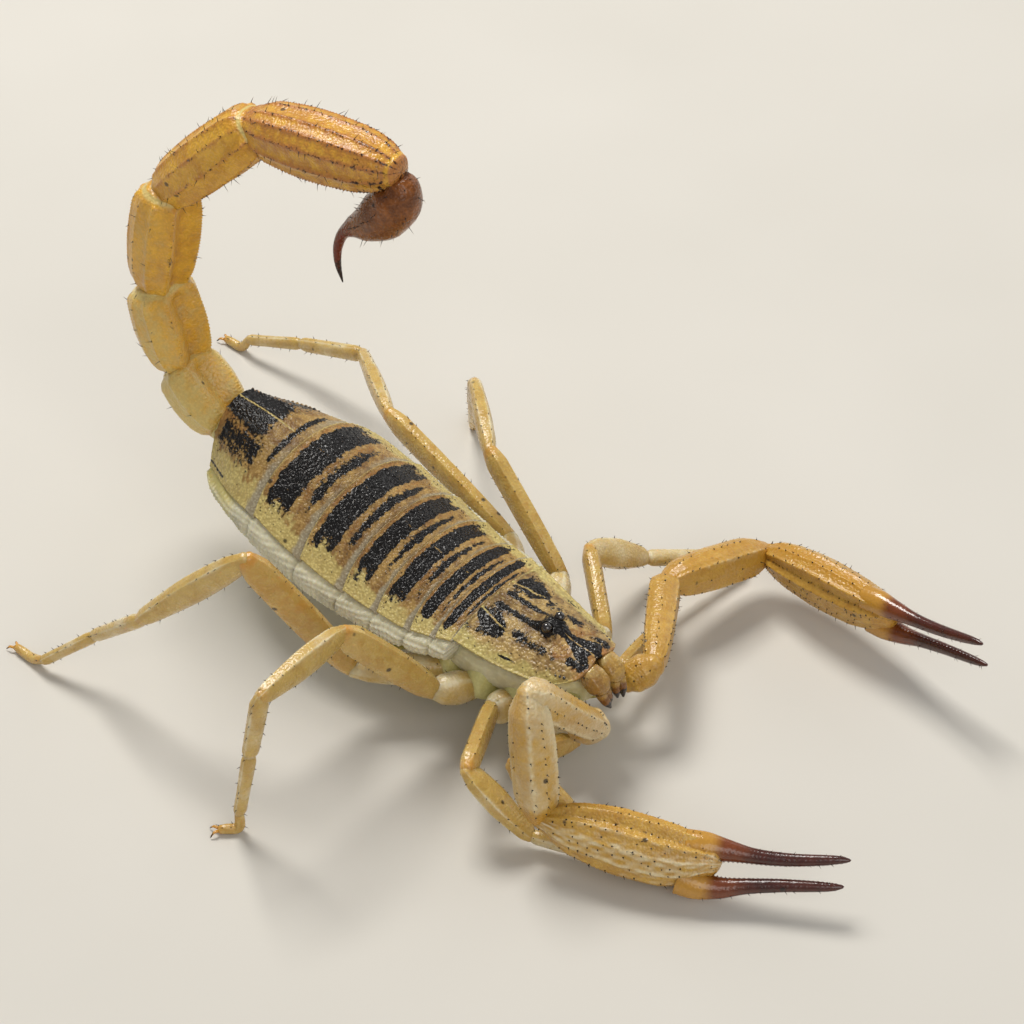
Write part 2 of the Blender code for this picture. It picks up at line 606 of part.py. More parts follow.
def build_leg(side_name, number, pose):
    """One walking leg in three pieces: trochanter and femur, patella, and the lower leg."""
    label = "_%s_%d" % (side_name, number)
    scale = LEG_SCALE[number]
    hip, root = np.array(pose[0]), np.array(pose[1])
    headings = [angles[0] for angles in pose[2:6]]
    femur, patella, tibia, basitarsus = [direction(*angles) for angles in pose[2:6]]
    side = level_side(headings[0])
    outline = oval(8, 2.2)
    trochanter = unit(root - hip)
    base = np.linalg.norm(root - hip)
    lengths = LEG_LENGTHS[number]

    hip_side = level_side(math.degrees(math.atan2(trochanter[0], -trochanter[1])))
    rings, _ = limb(hip, trochanter, hip_side, base,
                    ((0.0, 0.55 * scale, 0.62 * scale), (0.45, 0.70 * scale, 0.80 * scale)), outline)
    across = square_to(femur, side)
    waist = bend_ring(root, trochanter, femur, hip_side + side, (0.42 * scale, 0.48 * scale), outline, 0.0)
    stations = ((0.18, 0.40, 0.58), (0.5, 0.42, 0.66), (0.86, 0.42, 0.62), (1.0, 0.30, 0.42))
    sizes = [(f, w * scale, h * scale) for f, w, h in stations]
    upper, knee = limb(root, femur, side, lengths[0], sizes, outline, None, patella)
    upper[0] = place_ring(root + femur * lengths[0] * stations[0][0], across, np.cross(femur, across),
                          sizes[0][1], sizes[0][2], outline)
    add_solid("leg_femur" + label, rings + [waist] + upper, AMBER)

    stations = ((0.0, 0.28, 0.40), (0.14, 0.38, 0.58), (0.45, 0.42, 0.64), (0.84, 0.34, 0.48), (1.0, 0.27, 0.32))
    ankle = leg_segment("leg_patella" + label, knee, patella, side, lengths[1], stations, scale,
                        STRAW, femur, tibia)

    points = [ankle, ankle + tibia * lengths[2]]
    points.append(points[1] + basitarsus * lengths[3])
    toe = lengths[4] * 0.5
    drop = (FOOT_RADIUS - points[2][2]) / toe
    pitch = math.degrees(math.asin(max(-0.98, min(0.3, drop))))
    points.append(points[2] + direction(pose[6], pitch) * toe)
    points[3][2] = FOOT_RADIUS
    points.append(points[3] + direction(pose[6], 0) * (lengths[4] - toe))
    build_foot("leg_foot" + label, points, side, scale, patella)


def centre_model():
    """Move every piece so that the origin lies on the floor under the middle of the animal."""
    parts = list(bpy.context.collection.objects)
    corners = [np.array([vertex.co[:2] for vertex in part.data.vertices]) for part in parts]
    low = np.min([points.min(axis=0) for points in corners], axis=0)
    high = np.max([points.max(axis=0) for points in corners], axis=0)
    middle = (low + high) / 2
    for part in parts:
        part.location = (-middle[0], -middle[1], 0.0)


def main():
    """Build every piece of the animal."""
    for old in list(bpy.data.objects):
        bpy.data.objects.remove(old)
    build_carapace()
    build_coxosternum()
    for name, sign in (("right", -1), ("left", 1)):
        build_median_eye(name, sign)
        build_chelicera(name, sign)
    for number, (start, end) in enumerate(zip(TERGITE_BORDERS, TERGITE_BORDERS[1:]), 1):
        build_tergite(number, start + GAP / 2, end - GAP / 2)
    for number, (start, end) in enumerate(zip(STERNITE_BORDERS, STERNITE_BORDERS[1:]), 3):
        build_sternite(number, start + GAP / 2, end - GAP / 2)
    build_pleura()
    build_pectines()
    build_tail()
    for name, pose in PALP_POSES.items():
        build_palp(name, pose)
    for (side_name, number), pose in LEG_POSES.items():
        build_leg(side_name, number, pose)
    centre_model()


main()
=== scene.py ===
# %% [markdown]
# # Desert scorpion, alert, with its tail over its back
# The solids give the pose and the outline. This notebook lays the living surface over them:
# keeled and granular shell plates, the soft folded skin between the plates, eyes, claws and
# bristles. Sizes are in millimetres until a mesh is written, because the whole animal is only
# some 48 mm long in this pose.

# %% Load the frame
import math
import bpy
import mathutils
import numpy as np
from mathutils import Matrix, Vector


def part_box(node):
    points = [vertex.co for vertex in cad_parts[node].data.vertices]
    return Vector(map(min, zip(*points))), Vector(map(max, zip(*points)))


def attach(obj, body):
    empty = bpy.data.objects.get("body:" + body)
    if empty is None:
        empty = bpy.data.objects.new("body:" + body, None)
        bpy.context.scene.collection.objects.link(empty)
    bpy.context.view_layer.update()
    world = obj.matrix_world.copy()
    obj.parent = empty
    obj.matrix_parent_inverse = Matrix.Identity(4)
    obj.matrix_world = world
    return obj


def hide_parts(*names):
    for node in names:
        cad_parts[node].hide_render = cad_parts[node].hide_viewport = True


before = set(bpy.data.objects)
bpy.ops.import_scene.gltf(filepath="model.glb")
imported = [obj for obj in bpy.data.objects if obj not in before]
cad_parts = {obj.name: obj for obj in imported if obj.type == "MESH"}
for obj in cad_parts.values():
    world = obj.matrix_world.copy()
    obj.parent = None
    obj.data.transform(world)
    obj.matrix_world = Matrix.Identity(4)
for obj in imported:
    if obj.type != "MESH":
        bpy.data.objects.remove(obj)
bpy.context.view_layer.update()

MM = 0.001
carapace_low, carapace_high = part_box("carapace")
SHIFT = np.array([(carapace_low[0] + carapace_high[0]) / 2, carapace_high[1] + 0.15 * MM, 0.0]) / MM
print("pose origin in the frame, mm:", SHIFT.round(3))

# %% [markdown]
# ## Shapes as arrays
# Every surface is a grid of rings. A *shell* is one limb segment: rings along a straight axis
# with rounded ends, each ring a superellipse whose radius is raised by keels. The ring of a
# *plate* runs out along its upper face and back along its lower face.

# %% Vectors
def unit(vector):
    """v / |v| along the last axis."""
    vector = np.asarray(vector, float)
    return vector / np.linalg.norm(vector, axis=-1, keepdims=True)


def direction(heading, pitch):
    """Unit vector: heading 0 is ahead (-Y), +90 the animal's left (+X); pitch is the rise."""
    h, p = math.radians(heading), math.radians(pitch)
    return np.array([math.sin(h) * math.cos(p), -math.cos(h) * math.cos(p), math.sin(p)])


def level_side(heading):
    """Level unit vector on the left of a heading."""
    h = math.radians(heading)
    return np.array([math.cos(h), math.sin(h), 0.0])


def square_to(axis, side):
    """The part of side that is square to axis, at length one."""
    return unit(side - axis * np.dot(side, axis))


# %% Curves
def curve(table, at):
    """Smooth monotone curve through rows (x, values...): Hermite pieces whose inner slopes are
    the harmonic mean of the two neighbouring slopes, or 0 where those differ in sign."""
    table = np.asarray(table, float)
    x, y = table[:, 0], table[:, 1:]
    step = np.diff(x)[:, None]
    slope = np.diff(y, axis=0) / step
    inner = np.where(slope[1:] * slope[:-1] > 0,
                     2 * slope[1:] * slope[:-1] / np.where(slope[1:] + slope[:-1] == 0, 1,
                                                           slope[1:] + slope[:-1]), 0)
    tangent = np.vstack([slope[:1], inner, slope[-1:]])
    at = np.clip(np.asarray(at, float), x[0], x[-1])
    k = np.clip(np.searchsorted(x, at, side="right") - 1, 0, len(x) - 2)
    t = ((at - x[k]) / step[k, 0])[:, None]
    h = step[k]
    return ((2 * t**3 - 3 * t**2 + 1) * y[k] + (3 * t**2 - 2 * t**3) * y[k + 1]
            + h * ((t**3 - 2 * t**2 + t) * tangent[k] + (t**3 - t**2) * tangent[k + 1]))


def smooth_table(table, at):
    """Hermite curve through a table with centred slopes, which rounds its highest point."""
    x, y = table[:, 0], table[:, 1:]
    tangent = np.gradient(y, x, axis=0)
    at = np.clip(np.asarray(at, float), x[0], x[-1])
    k = np.clip(np.searchsorted(x, at, side="right") - 1, 0, len(x) - 2)
    h = (x[k + 1] - x[k])[:, None]
    t = (at - x[k])[:, None] / h
    return ((2 * t**3 - 3 * t**2 + 1) * y[k] + (3 * t**2 - 2 * t**3) * y[k + 1]
            + h * ((t**3 - 2 * t**2 + t) * tangent[k] + (t**3 - t**2) * tangent[k + 1]))


# %% Ramps, bells and noise
def ramp(value, low, high):
    """Smoothstep of value between low and high; falls instead where low is above high."""
    t = np.clip((value - low) / (high - low), 0, 1)
    return t * t * (3 - 2 * t)


def bell(x, middle, width):
    """exp(-((x - middle) / width)^2)."""
    return np.exp(-((x - middle) / width) ** 2)


def ridge(theta, at, width):
    """Bell of the angle between theta and at, both in degrees round a ring."""
    return np.exp(-((((theta - at) + 180) % 360 - 180) / width) ** 2)


def wobble(a, b, seed):
    """Smooth noise of two coordinates, about -1 to 1: five sines with seeded directions."""
    draw = np.random.default_rng(seed)
    total = 0
    for _ in range(5):
        turn, rate, phase = draw.uniform(0, 2 * math.pi), draw.uniform(0.7, 2.2), draw.uniform(0, 6.3)
        total = total + np.sin(rate * (a * math.cos(turn) + b * math.sin(turn)) + phase)
    return total / 3.2


# %% Granules
def granules(x, y, size, share, seed):
    """Rounded grains on a jittered lattice: each point takes the tallest bell among the grains
    of its own cell and the eight around it; share is the chance that a cell holds a grain."""
    draw = np.random.default_rng(seed)
    jitter = draw.uniform(-0.35, 0.35, (2, 64, 64))
    tall = (draw.random((64, 64)) < share) * draw.uniform(0.45, 1.0, (64, 64))
    column, row = np.floor(x / size).astype(int), np.floor(y / size).astype(int)
    best = np.zeros_like(x)
    for dx in (-1, 0, 1):
        for dy in (-1, 0, 1):
            i, j = (column + dx) % 64, (row + dy) % 64
            px = (column + dx + 0.5 + jitter[0, i, j]) * size
            py = (row + dy + 0.5 + jitter[1, i, j]) * size
            reach = ((x - px) ** 2 + (y - py) ** 2) / (0.36 * size) ** 2
            best = np.maximum(best, tall[i, j] * np.exp(-reach))
    return best


# %% Limb segments
def shell(start, axis, side, length, sizes, keels=(), beads=0.28, power=2.2, rows=44, cols=36,
          caps=(0.7, 0.7), groove=0.0, lean=None, grains=None):
    """One limb segment as a closed grid of rings.

    sizes lists (share of the length, half width, half height). keels lists (angle, rise,
    width in degrees) with 90 the upper side: each raises the radius by rise times a bell, with
    beads along its crest, or hollows it where rise is below 0.
    caps are the lengths of the rounded ends as shares of the end half heights, groove hollows
    the upper side, lean lists (share, shift along side) and grains is (size, rise, share of
    cells filled). Returns the grid with its distance S, share T and angle TH.
    """
    start, axis = np.asarray(start, float), np.asarray(axis, float)
    across = square_to(axis, side)
    up = np.cross(axis, across)
    t = np.linspace(0, 1, rows)
    size = curve(sizes, t)
    s = t * length
    turn = np.radians(np.linspace(8, 90, 7))
    for end in (0, 1):
        rim = size[-end]
        cap = caps[end] * rim[1]
        rounded = rim * np.cos(turn)[:, None]
        out = cap * np.sin(turn)
        if end:
            s, size = np.concatenate([s, length + out]), np.vstack([size, rounded])
        else:
            s, size = np.concatenate([-out[::-1], s]), np.vstack([rounded[::-1], size])
    theta = np.arange(cols) * 360 / cols
    cos, sin = np.cos(np.radians(theta)), np.sin(np.radians(theta))
    radius = (np.abs(cos) ** power + np.abs(sin) ** power) ** (-1 / power)
    S, TH = np.meshgrid(s, theta, indexing="ij")
    T = np.clip(S / length, 0, 1)
    lift = np.zeros_like(S)
    bead = np.clip(np.cos(2 * math.pi * S / beads + 2.5 * wobble(S * 2.3, TH / 40, 17)), 0, 1)
    fade = np.clip(np.minimum(S, length - S) / 0.35, 0, 1)
    for at, rise, width in keels:
        crest = 0.35 * bead * ridge(TH, at, 0.35 * width) if rise > 0 else 0.0
        lift = lift + rise * (ridge(TH, at, width) + crest) * fade
    lift = lift - groove * ridge(TH, 90, 26) * np.clip(np.minimum(S, length - S) / 0.6, 0, 1)
    if grains:
        around = TH / 360 * 2 * math.pi * max(size[:, 0].max(), size[:, 1].max())
        lift = lift + grains[1] * granules(S, around, grains[0], grains[2], 23) * fade
    R = radius * (1 + lift)
    middle = start + S[..., None] * axis
    if lean:
        middle = middle + curve(lean, T[:, 0])[:, :1, None] * across
    P = (middle + (size[:, 0, None] * cos * R)[..., None] * across
         + (size[:, 1, None] * sin * R)[..., None] * up)
    return {"P": P, "S": S, "T": T, "TH": TH, "length": length}


# %% Faces
def grid_faces(rows, cols, first, poles):
    """Quads between the rings of a grid, the last column meeting the first, and triangles from
    each end ring to its pole. With poles False, each end ring is zipped shut across itself."""
    i, j = np.meshgrid(np.arange(rows - 1), np.arange(cols), indexing="ij")
    k = (j + 1) % cols
    quads = np.stack([i * cols + j, i * cols + k, (i + 1) * cols + k, (i + 1) * cols + j],
                     -1).reshape(-1, 4) + first
    if not poles:
        j = np.arange(cols // 2 - 1)
        front = np.stack([j, cols - 1 - j, cols - 2 - j, j + 1], -1) + first
        back = np.stack([j, j + 1, cols - 2 - j, cols - 1 - j], -1) + first + (rows - 1) * cols
        return np.vstack([quads, front, back]), np.zeros((0, 3), int)
    j = np.arange(cols)
    k = (j + 1) % cols
    low, high = first + rows * cols, first + rows * cols + 1
    front = np.stack([np.full(cols, low), k + first, j + first], -1)
    back = np.stack([np.full(cols, high), j + first + (rows - 1) * cols, k + first + (rows - 1) * cols], -1)
    return quads, np.vstack([front, back])


# %% Grids to pieces
def write_mesh(name, verts, quads, tris, values):
    """Mesh object from vertex rows in mm, with one float attribute for each entry of values."""
    mesh = bpy.data.meshes.new(name)
    mesh.vertices.add(len(verts))
    mesh.vertices.foreach_set("co", ((verts + SHIFT) * MM).astype(np.float32).ravel())
    corners = np.concatenate([quads.ravel(), tris.ravel()])
    mesh.loops.add(len(corners))
    mesh.loops.foreach_set("vertex_index", corners.astype(np.int32))
    starts = np.concatenate([np.arange(len(quads)) * 4, len(quads) * 4 + np.arange(len(tris)) * 3])
    mesh.polygons.add(len(starts))
    mesh.polygons.foreach_set("loop_start", starts.astype(np.int32))
    mesh.polygons.foreach_set("use_smooth", np.ones(len(starts), bool))
    mesh.update(calc_edges=True)
    for key, value in values.items():
        mesh.attributes.new(key, "FLOAT", "POINT").data.foreach_set("value", value.astype(np.float32))
    piece = bpy.data.objects.new(name, mesh)
    bpy.context.collection.objects.link(piece)
    return piece


MARKS = ("band", "light", "soft", "warm")


def build(name, grids, finish, nodes, poles=True):
    """Joins grids into one object that rides the root, stands for its nodes and carries the
    marks: band (black), light (pale), soft (joint skin) and warm (orange)."""
    verts, quads, tris, values, first = [], [], [], {key: [] for key in MARKS}, 0
    for grid in grids:
        P = grid["P"]
        rows, cols = P.shape[:2]
        new = [P.reshape(-1, 3)]
        if poles:
            new += [P[0].mean(axis=0)[None], P[-1].mean(axis=0)[None]]
        middle = new[0].mean(axis=0)
        q, t = grid_faces(rows, cols, first, poles)
        both = np.vstack(new)
        a, b, c, d = (both[q[:, n] - first] for n in range(4))
        volume = np.sum(np.cross(c - a, d - b) * (a + b + c + d - 4 * middle))
        if volume < 0:
            q, t = q[:, ::-1], t[:, ::-1]
        verts.append(both)
        quads.append(q)
        tris.append(t)
        for key in MARKS:
            value = np.broadcast_to(grid.get(key, 0.0), (rows, cols)).ravel()
            ends = [value[:cols].mean(keepdims=True), value[-cols:].mean(keepdims=True)] if poles else []
            values[key].append(np.concatenate([value] + ends))
        first += len(both)
    joined = {key: np.concatenate(value) for key, value in values.items()}
    piece = write_mesh(name, np.vstack(verts), np.vstack(quads), np.vstack(tris), joined)
    piece.data.materials.append(finish)
    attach(piece, "root")
    if nodes:
        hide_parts(*nodes)
    return piece


# %% [markdown]
# ## Finishes
# One node group makes every cuticle: a base tone mottled with a second one, pale and black
# marks whose edges noise frays, scattered dark specks, joint skin, painted shade in the hollows
# between the fine granules, and the granules as bump.
# The Principled shader stays in each material, with a little light passing through the shell.

# %% Colours
def rgb(red, green, blue):
    """Linear colour of an sRGB triple in 0 to 255."""
    channel = np.array([red, green, blue]) / 255
    return (*np.where(channel <= 0.04045, channel / 12.92, ((channel + 0.055) / 1.055) ** 2.4), 1.0)


BLACK = rgb(17, 14, 13)
# Colour multiplied into the hollows between granules, as painted shade.
PIT_SHADE_COLOUR = (0.50, 0.44, 0.38, 1)
print("black in linear light:", np.round(BLACK[:3], 4))


# %% Node shorthand
class Wiring:
    """Adds nodes to one tree; each method returns the output of the node that it makes."""

    def __init__(self, tree):
        """Keeps the tree's nodes and links."""
        self.nodes, self.links = tree.nodes, tree.links

    def noise(self, place, scale, detail):
        """Fractal noise round 0.5, with scale features to the metre."""
        node = self.nodes.new("ShaderNodeTexNoise")
        node.inputs["Scale"].default_value = scale
        node.inputs["Detail"].default_value = detail
        node.inputs["Roughness"].default_value = 0.6
        self.links.new(place, node.inputs["Vector"])
        return node.outputs["Fac"]

    def math(self, kind, a, b):
        """One operation on a and b, each a number or an output."""
        node = self.nodes.new("ShaderNodeMath")
        node.operation = kind
        for socket, value in zip(node.inputs, (a, b)):
            if isinstance(value, (int, float)):
                socket.default_value = value
            else:
                self.links.new(value, socket)
        return node.outputs[0]

    def step(self, value, low, high):
        """Smooth rise from 0 to 1 while value goes from low to high."""
        node = self.nodes.new("ShaderNodeMapRange")
        node.interpolation_type = "SMOOTHSTEP"
        node.inputs["From Min"].default_value = low
        node.inputs["From Max"].default_value = high
        self.links.new(value, node.inputs["Value"])
        return node.outputs["Result"]

    def mix(self, factor, a, b):
        """Colour a where factor is 0, colour b where it is 1."""
        node = self.nodes.new("ShaderNodeMix")
        node.data_type = "RGBA"
        self.links.new(factor, node.inputs["Factor"])
        self.links.new(a, node.inputs["A"])
        self.links.new(b, node.inputs["B"])
        return node.outputs["Result"]

    def mark(self, name):
        """One of the mesh's marks."""
        node = self.nodes.new("ShaderNodeAttribute")
        node.attribute_name = name
        return node.outputs["Fac"]


# %% Cuticle sockets
COLOUR_SOCKETS = ("Base", "Second", "Dark", "Pale", "Skin", "Warm")
AMOUNT_SOCKETS = (("Mottle", 0.5), ("Specks", 0.3), ("Fray", 0.5), ("Grain", 0.4), ("Gloss", 0.4),
                  ("Grain size", 9000.0), ("Pits", 0.15))
OUTPUT_SOCKETS = (("Color", "NodeSocketColor"), ("Roughness", "NodeSocketFloat"),
                  ("Normal", "NodeSocketVector"))


def group_sockets(group):
    """Inputs with their defaults, then the outputs."""
    for name in COLOUR_SOCKETS:
        socket = group.interface.new_socket(name=name, in_out="INPUT", socket_type="NodeSocketColor")
        socket.default_value = (0.5, 0.5, 0.5, 1)
    for name, value in AMOUNT_SOCKETS:
        socket = group.interface.new_socket(name=name, in_out="INPUT", socket_type="NodeSocketFloat")
        socket.default_value = value
    for name, kind in OUTPUT_SOCKETS:
        group.interface.new_socket(name=name, in_out="OUTPUT", socket_type=kind)


# %% Cuticle colour
SPECK_SCALE = 1500.0


def marked_colour(wires, source, coarse, middle, fine):
    """Base mottled with Second, then the warm, pale and black marks with edges frayed by
    noise. Returns the colour and the black mask."""
    fray = wires.math("MULTIPLY", wires.math("SUBTRACT", middle, 0.5), source["Fray"])
    mottle = wires.step(wires.math("ADD", wires.math("MULTIPLY", coarse, 0.5),
                                   wires.math("MULTIPLY", middle, 0.5)), 0.40, 0.62)
    colour = wires.mix(wires.math("MULTIPLY", mottle, source["Mottle"]), source["Base"], source["Second"])
    warm = wires.step(wires.math("ADD", wires.mark("warm"), fray), 0.2, 0.9)
    colour = wires.mix(warm, colour, source["Warm"])
    light = wires.step(wires.math("ADD", wires.mark("light"), fray), 0.25, 0.85)
    colour = wires.mix(light, colour, source["Pale"])
    dust = wires.math("MULTIPLY", wires.math("SUBTRACT", fine, 0.5), source["Fray"])
    edges = wires.math("ADD", wires.math("MULTIPLY", fray, 0.6), wires.math("MULTIPLY", dust, 1.7))
    band = wires.step(wires.math("ADD", wires.mark("band"), edges), 0.30, 0.66)
    return wires.mix(band, colour, source["Dark"]), band


def specked_colour(wires, source, place, colour):
    """Dark specks in a share of the cells of a Voronoi pattern, then the soft joint skin."""
    cells = wires.nodes.new("ShaderNodeTexVoronoi")
    cells.inputs["Scale"].default_value = SPECK_SCALE
    wires.links.new(place, cells.inputs["Vector"])
    lottery = wires.nodes.new("ShaderNodeSeparateColor")
    wires.links.new(cells.outputs["Color"], lottery.inputs["Color"])
    chosen = wires.math("LESS_THAN", lottery.outputs["Red"], source["Specks"])
    inside = wires.math("SUBTRACT", 1.0, wires.step(cells.outputs["Distance"], 0.12, 0.24))
    dot = wires.math("MULTIPLY", inside, chosen)
    colour = wires.mix(wires.math("MULTIPLY", dot, 0.85), colour, source["Dark"])
    return wires.mix(wires.step(wires.mark("soft"), 0.15, 0.9), colour, source["Skin"])


def pit_shaded_colour(wires, source, place, colour):
    """Painted shade: the colour is multiplied darker in the hollows between the fine granules, where shade
    falls. Returns the colour and the granules' distance.
    """
    grains = wires.nodes.new("ShaderNodeTexVoronoi")
    grains.feature = "SMOOTH_F1"
    wires.links.new(source["Grain size"], grains.inputs["Scale"])
    wires.links.new(place, grains.inputs["Vector"])
    pit_shade = wires.nodes.new("ShaderNodeMix")
    pit_shade.data_type, pit_shade.blend_type = "RGBA", "MULTIPLY"
    pit_shade.inputs["B"].default_value = PIT_SHADE_COLOUR
    between = wires.step(grains.outputs["Distance"], 0.22, 0.55)
    # Painted shade between the granules, scaled by the amount socket.
    wires.links.new(wires.math("MULTIPLY", between, source["Pits"]), pit_shade.inputs["Factor"])
    wires.links.new(colour, pit_shade.inputs["A"])
    return pit_shade.outputs["Result"], grains.outputs["Distance"]


# %% Cuticle group
COARSE_NOISE, MIDDLE_NOISE, FINE_NOISE = (650.0, 3.0), (2100.0, 4.0), (6500.0, 2.0)
BUMP_DISTANCE = 0.00006


def cuticle_group():
    """Colour, roughness and normal of shell: see the notes above for the layers."""
    group = bpy.data.node_groups.new("cuticle", "ShaderNodeTree")
    group_sockets(group)
    wires = Wiring(group)
    source = wires.nodes.new("NodeGroupInput").outputs
    sink = wires.nodes.new("NodeGroupOutput").inputs
    place = wires.nodes.new("ShaderNodeTexCoord").outputs["Object"]
    coarse, middle, fine = (wires.noise(place, *size) for size in (COARSE_NOISE, MIDDLE_NOISE, FINE_NOISE))
    colour, band = marked_colour(wires, source, coarse, middle, fine)
    colour = specked_colour(wires, source, place, colour)
    colour, distance = pit_shaded_colour(wires, source, place, colour)
    height = wires.math("SUBTRACT", wires.math("MULTIPLY", middle, 0.5), distance)
    bump = wires.nodes.new("ShaderNodeBump")
    bump.inputs["Distance"].default_value = BUMP_DISTANCE
    wires.links.new(source["Grain"], bump.inputs["Strength"])
    wires.links.new(height, bump.inputs["Height"])
    uneven = wires.math("MULTIPLY", wires.math("SUBTRACT", middle, 0.5), 0.3)
    rough = wires.math("ADD", source["Gloss"], uneven)
    wires.links.new(colour, sink["Color"])
    rough = wires.math("SUBTRACT", rough, wires.math("MULTIPLY", band, 0.10))
    wires.links.new(rough, sink["Roughness"])
    wires.links.new(bump.outputs["Normal"], sink["Normal"])
    return group


CUTICLE = cuticle_group()
print(len(CUTICLE.nodes), "nodes in the cuticle group")

# %% Material maker
SCATTER_RADIUS, SCATTER_SCALE = (1.0, 0.75, 0.35), 0.0006
COAT_ROUGHNESS = 0.25


def finish(name, base, second, pale, skin, warm, dark=BLACK, through=0.15, coat=0.0, shine=0.5, **amounts):
    """Material that feeds the cuticle group to a Principled shader; through is the share of
    light that passes under the surface, coat the share of a clear glossy layer and shine the
    strength of the plain highlights."""
    made = bpy.data.materials.new(name)
    made.use_nodes = True
    tree = made.node_tree
    shader = tree.nodes["Principled BSDF"]
    layers = tree.nodes.new("ShaderNodeGroup")
    layers.node_tree = CUTICLE
    for key, value in (("Base", base), ("Second", second), ("Pale", pale), ("Skin", skin), ("Warm", warm),
                       ("Dark", dark)):
        layers.inputs[key].default_value = value
    for key, value in amounts.items():
        layers.inputs[key.replace("_", " ")].default_value = value
    for key, socket in (("Color", "Base Color"), ("Roughness", "Roughness"), ("Normal", "Normal")):
        tree.links.new(layers.outputs[key], shader.inputs[socket])
    shader.inputs["Subsurface Weight"].default_value = through
    shader.inputs["Subsurface Radius"].default_value = SCATTER_RADIUS
    shader.inputs["Subsurface Scale"].default_value = SCATTER_SCALE
    shader.inputs["Specular IOR Level"].default_value = shine
    shader.inputs["Coat Weight"].default_value = coat
    shader.inputs["Coat Roughness"].default_value = COAT_ROUGHNESS
    return made


# %% Finishes
BACK = finish("back_plates", rgb(190, 156, 92), rgb(132, 96, 50), rgb(212, 194, 124), rgb(174, 164, 138),
              rgb(178, 122, 56), Mottle=0.9, Specks=0.10, Fray=0.9, Grain=0.9, Gloss=0.34,
              Grain_size=8500.0, Pits=0.5, through=0.0, shine=0.38)
HEAD = finish("head_shield", rgb(196, 166, 104), rgb(120, 90, 52), rgb(212, 196, 122), rgb(160, 156, 134),
              rgb(172, 116, 54), Mottle=0.9, Specks=0.12, Fray=0.9, Grain=0.9, Gloss=0.32,
              Grain_size=7500.0, Pits=0.5, through=0.0, shine=0.4)
SKIN = finish("folded_skin", rgb(222, 217, 188), rgb(184, 178, 146), rgb(236, 233, 214), rgb(160, 157, 138),
              rgb(206, 194, 124), Mottle=0.7, Specks=0.02, Fray=0.5, Grain=0.35, Gloss=0.40,
              Grain_size=5200.0, through=0.3)
BELLY = finish("belly_plates", rgb(192, 184, 112), rgb(170, 160, 88), rgb(212, 206, 140),
               rgb(172, 168, 132), rgb(190, 160, 74), Mottle=0.5, Specks=0.02, Fray=0.4, Grain=0.2,
               Gloss=0.34, through=0.25)
LEGS = finish("leg_shell", rgb(202, 172, 98), rgb(182, 146, 70), rgb(226, 214, 178), rgb(200, 182, 124),
              rgb(204, 144, 56), Mottle=0.8, Specks=0.08, Fray=0.5, Grain=0.5, Gloss=0.28, Pits=0.10,
              through=0.3, coat=0.2)
ARMS = finish("arm_shell", rgb(204, 162, 72), rgb(178, 132, 52), rgb(222, 204, 162), rgb(196, 168, 92),
              rgb(194, 142, 46), Mottle=0.8, Specks=0.14, Fray=0.7, Grain=0.65, Gloss=0.32, through=0.25,
              coat=0.15)
TAIL = finish("tail_shell", rgb(230, 178, 60), rgb(204, 146, 42), rgb(220, 196, 122), rgb(208, 178, 112),
              rgb(188, 124, 60), dark=rgb(56, 32, 18), Mottle=0.9, Specks=0.12, Fray=0.9, Grain=0.8,
              Gloss=0.32, Pits=0.18, through=0.25, coat=0.12)
STING = finish("sting_shell", rgb(150, 88, 34), rgb(100, 54, 20), rgb(190, 130, 66), rgb(120, 70, 32),
               rgb(112, 38, 10), dark=rgb(40, 12, 6), Mottle=0.9, Specks=0.10, Fray=0.6, Grain=0.8,
               Gloss=0.24, Pits=0.4, through=0.0, coat=0.2, shine=0.35)
CLAWS = finish("dark_shell", rgb(78, 30, 16), rgb(50, 18, 11), rgb(140, 88, 50), rgb(192, 140, 50),
               rgb(128, 62, 22), dark=rgb(26, 10, 9), Mottle=0.7, Specks=0.05, Fray=0.5, Grain=0.25,
               Gloss=0.22, through=0.0, coat=0.4)
JAWS = finish("jaw_shell", rgb(190, 152, 76), rgb(150, 110, 50), rgb(218, 196, 130), rgb(190, 156, 96),
              rgb(128, 84, 36), dark=rgb(28, 12, 9), Mottle=0.9, Specks=0.08, Fray=0.8, Grain=0.6,
              Gloss=0.24, Pits=0.25, through=0.25, coat=0.35)
print(len(bpy.data.materials), "finishes")

# %% [markdown]
# ## The tail
# Five ringed segments rise from the rump in an arch. Each is a tube that swells towards its far
# rim, with ten beaded keels and a shallow groove along the side that faces into the arch. The
# bulb and the sting hang from the last one as a single tube that narrows to a needle.

# %% Tail sizes
TAIL_ROOT = np.array([-0.1, 16.75, 7.2])
TAIL_SEGMENTS = ((3.5, 180, 40, 1.62, 1.48), (4.4, 184, 75, 1.60, 1.48), (5.6, 35, 81, 1.50, 1.42),
                 (6.8, 17, 45, 1.38, 1.36), (7.6, 6, 5, 1.42, 1.36))
TAIL_SHAPE = ((0, 0.64, 0.62), (0.07, 0.80, 0.80), (0.25, 0.96, 0.96), (0.55, 1.03, 1.03),
              (0.84, 0.99, 0.99), (0.94, 0.90, 0.90), (1, 0.72, 0.68))
LAST_SHAPE = ((0, 0.68, 0.66), (0.12, 0.90, 0.88), (0.42, 1, 1), (0.72, 0.93, 0.93), (0.90, 0.76, 0.74),
              (1, 0.54, 0.48))
TAIL_KEELS = ((56, 0.12, 8), (124, 0.12, 8), (16, 0.07, 5), (164, 0.07, 5), (340, 0.03, 4), (200, 0.03, 4),
              (312, 0.06, 5), (228, 0.06, 5), (288, 0.05, 4), (252, 0.05, 4))
TAIL_HOLLOWS = ((36, -0.05, 10), (144, -0.05, 10), (180, -0.03, 9), (0, -0.03, 9), (270, -0.03, 9))


print("tail length, mm:", round(sum(row[0] for row in TAIL_SEGMENTS), 2))


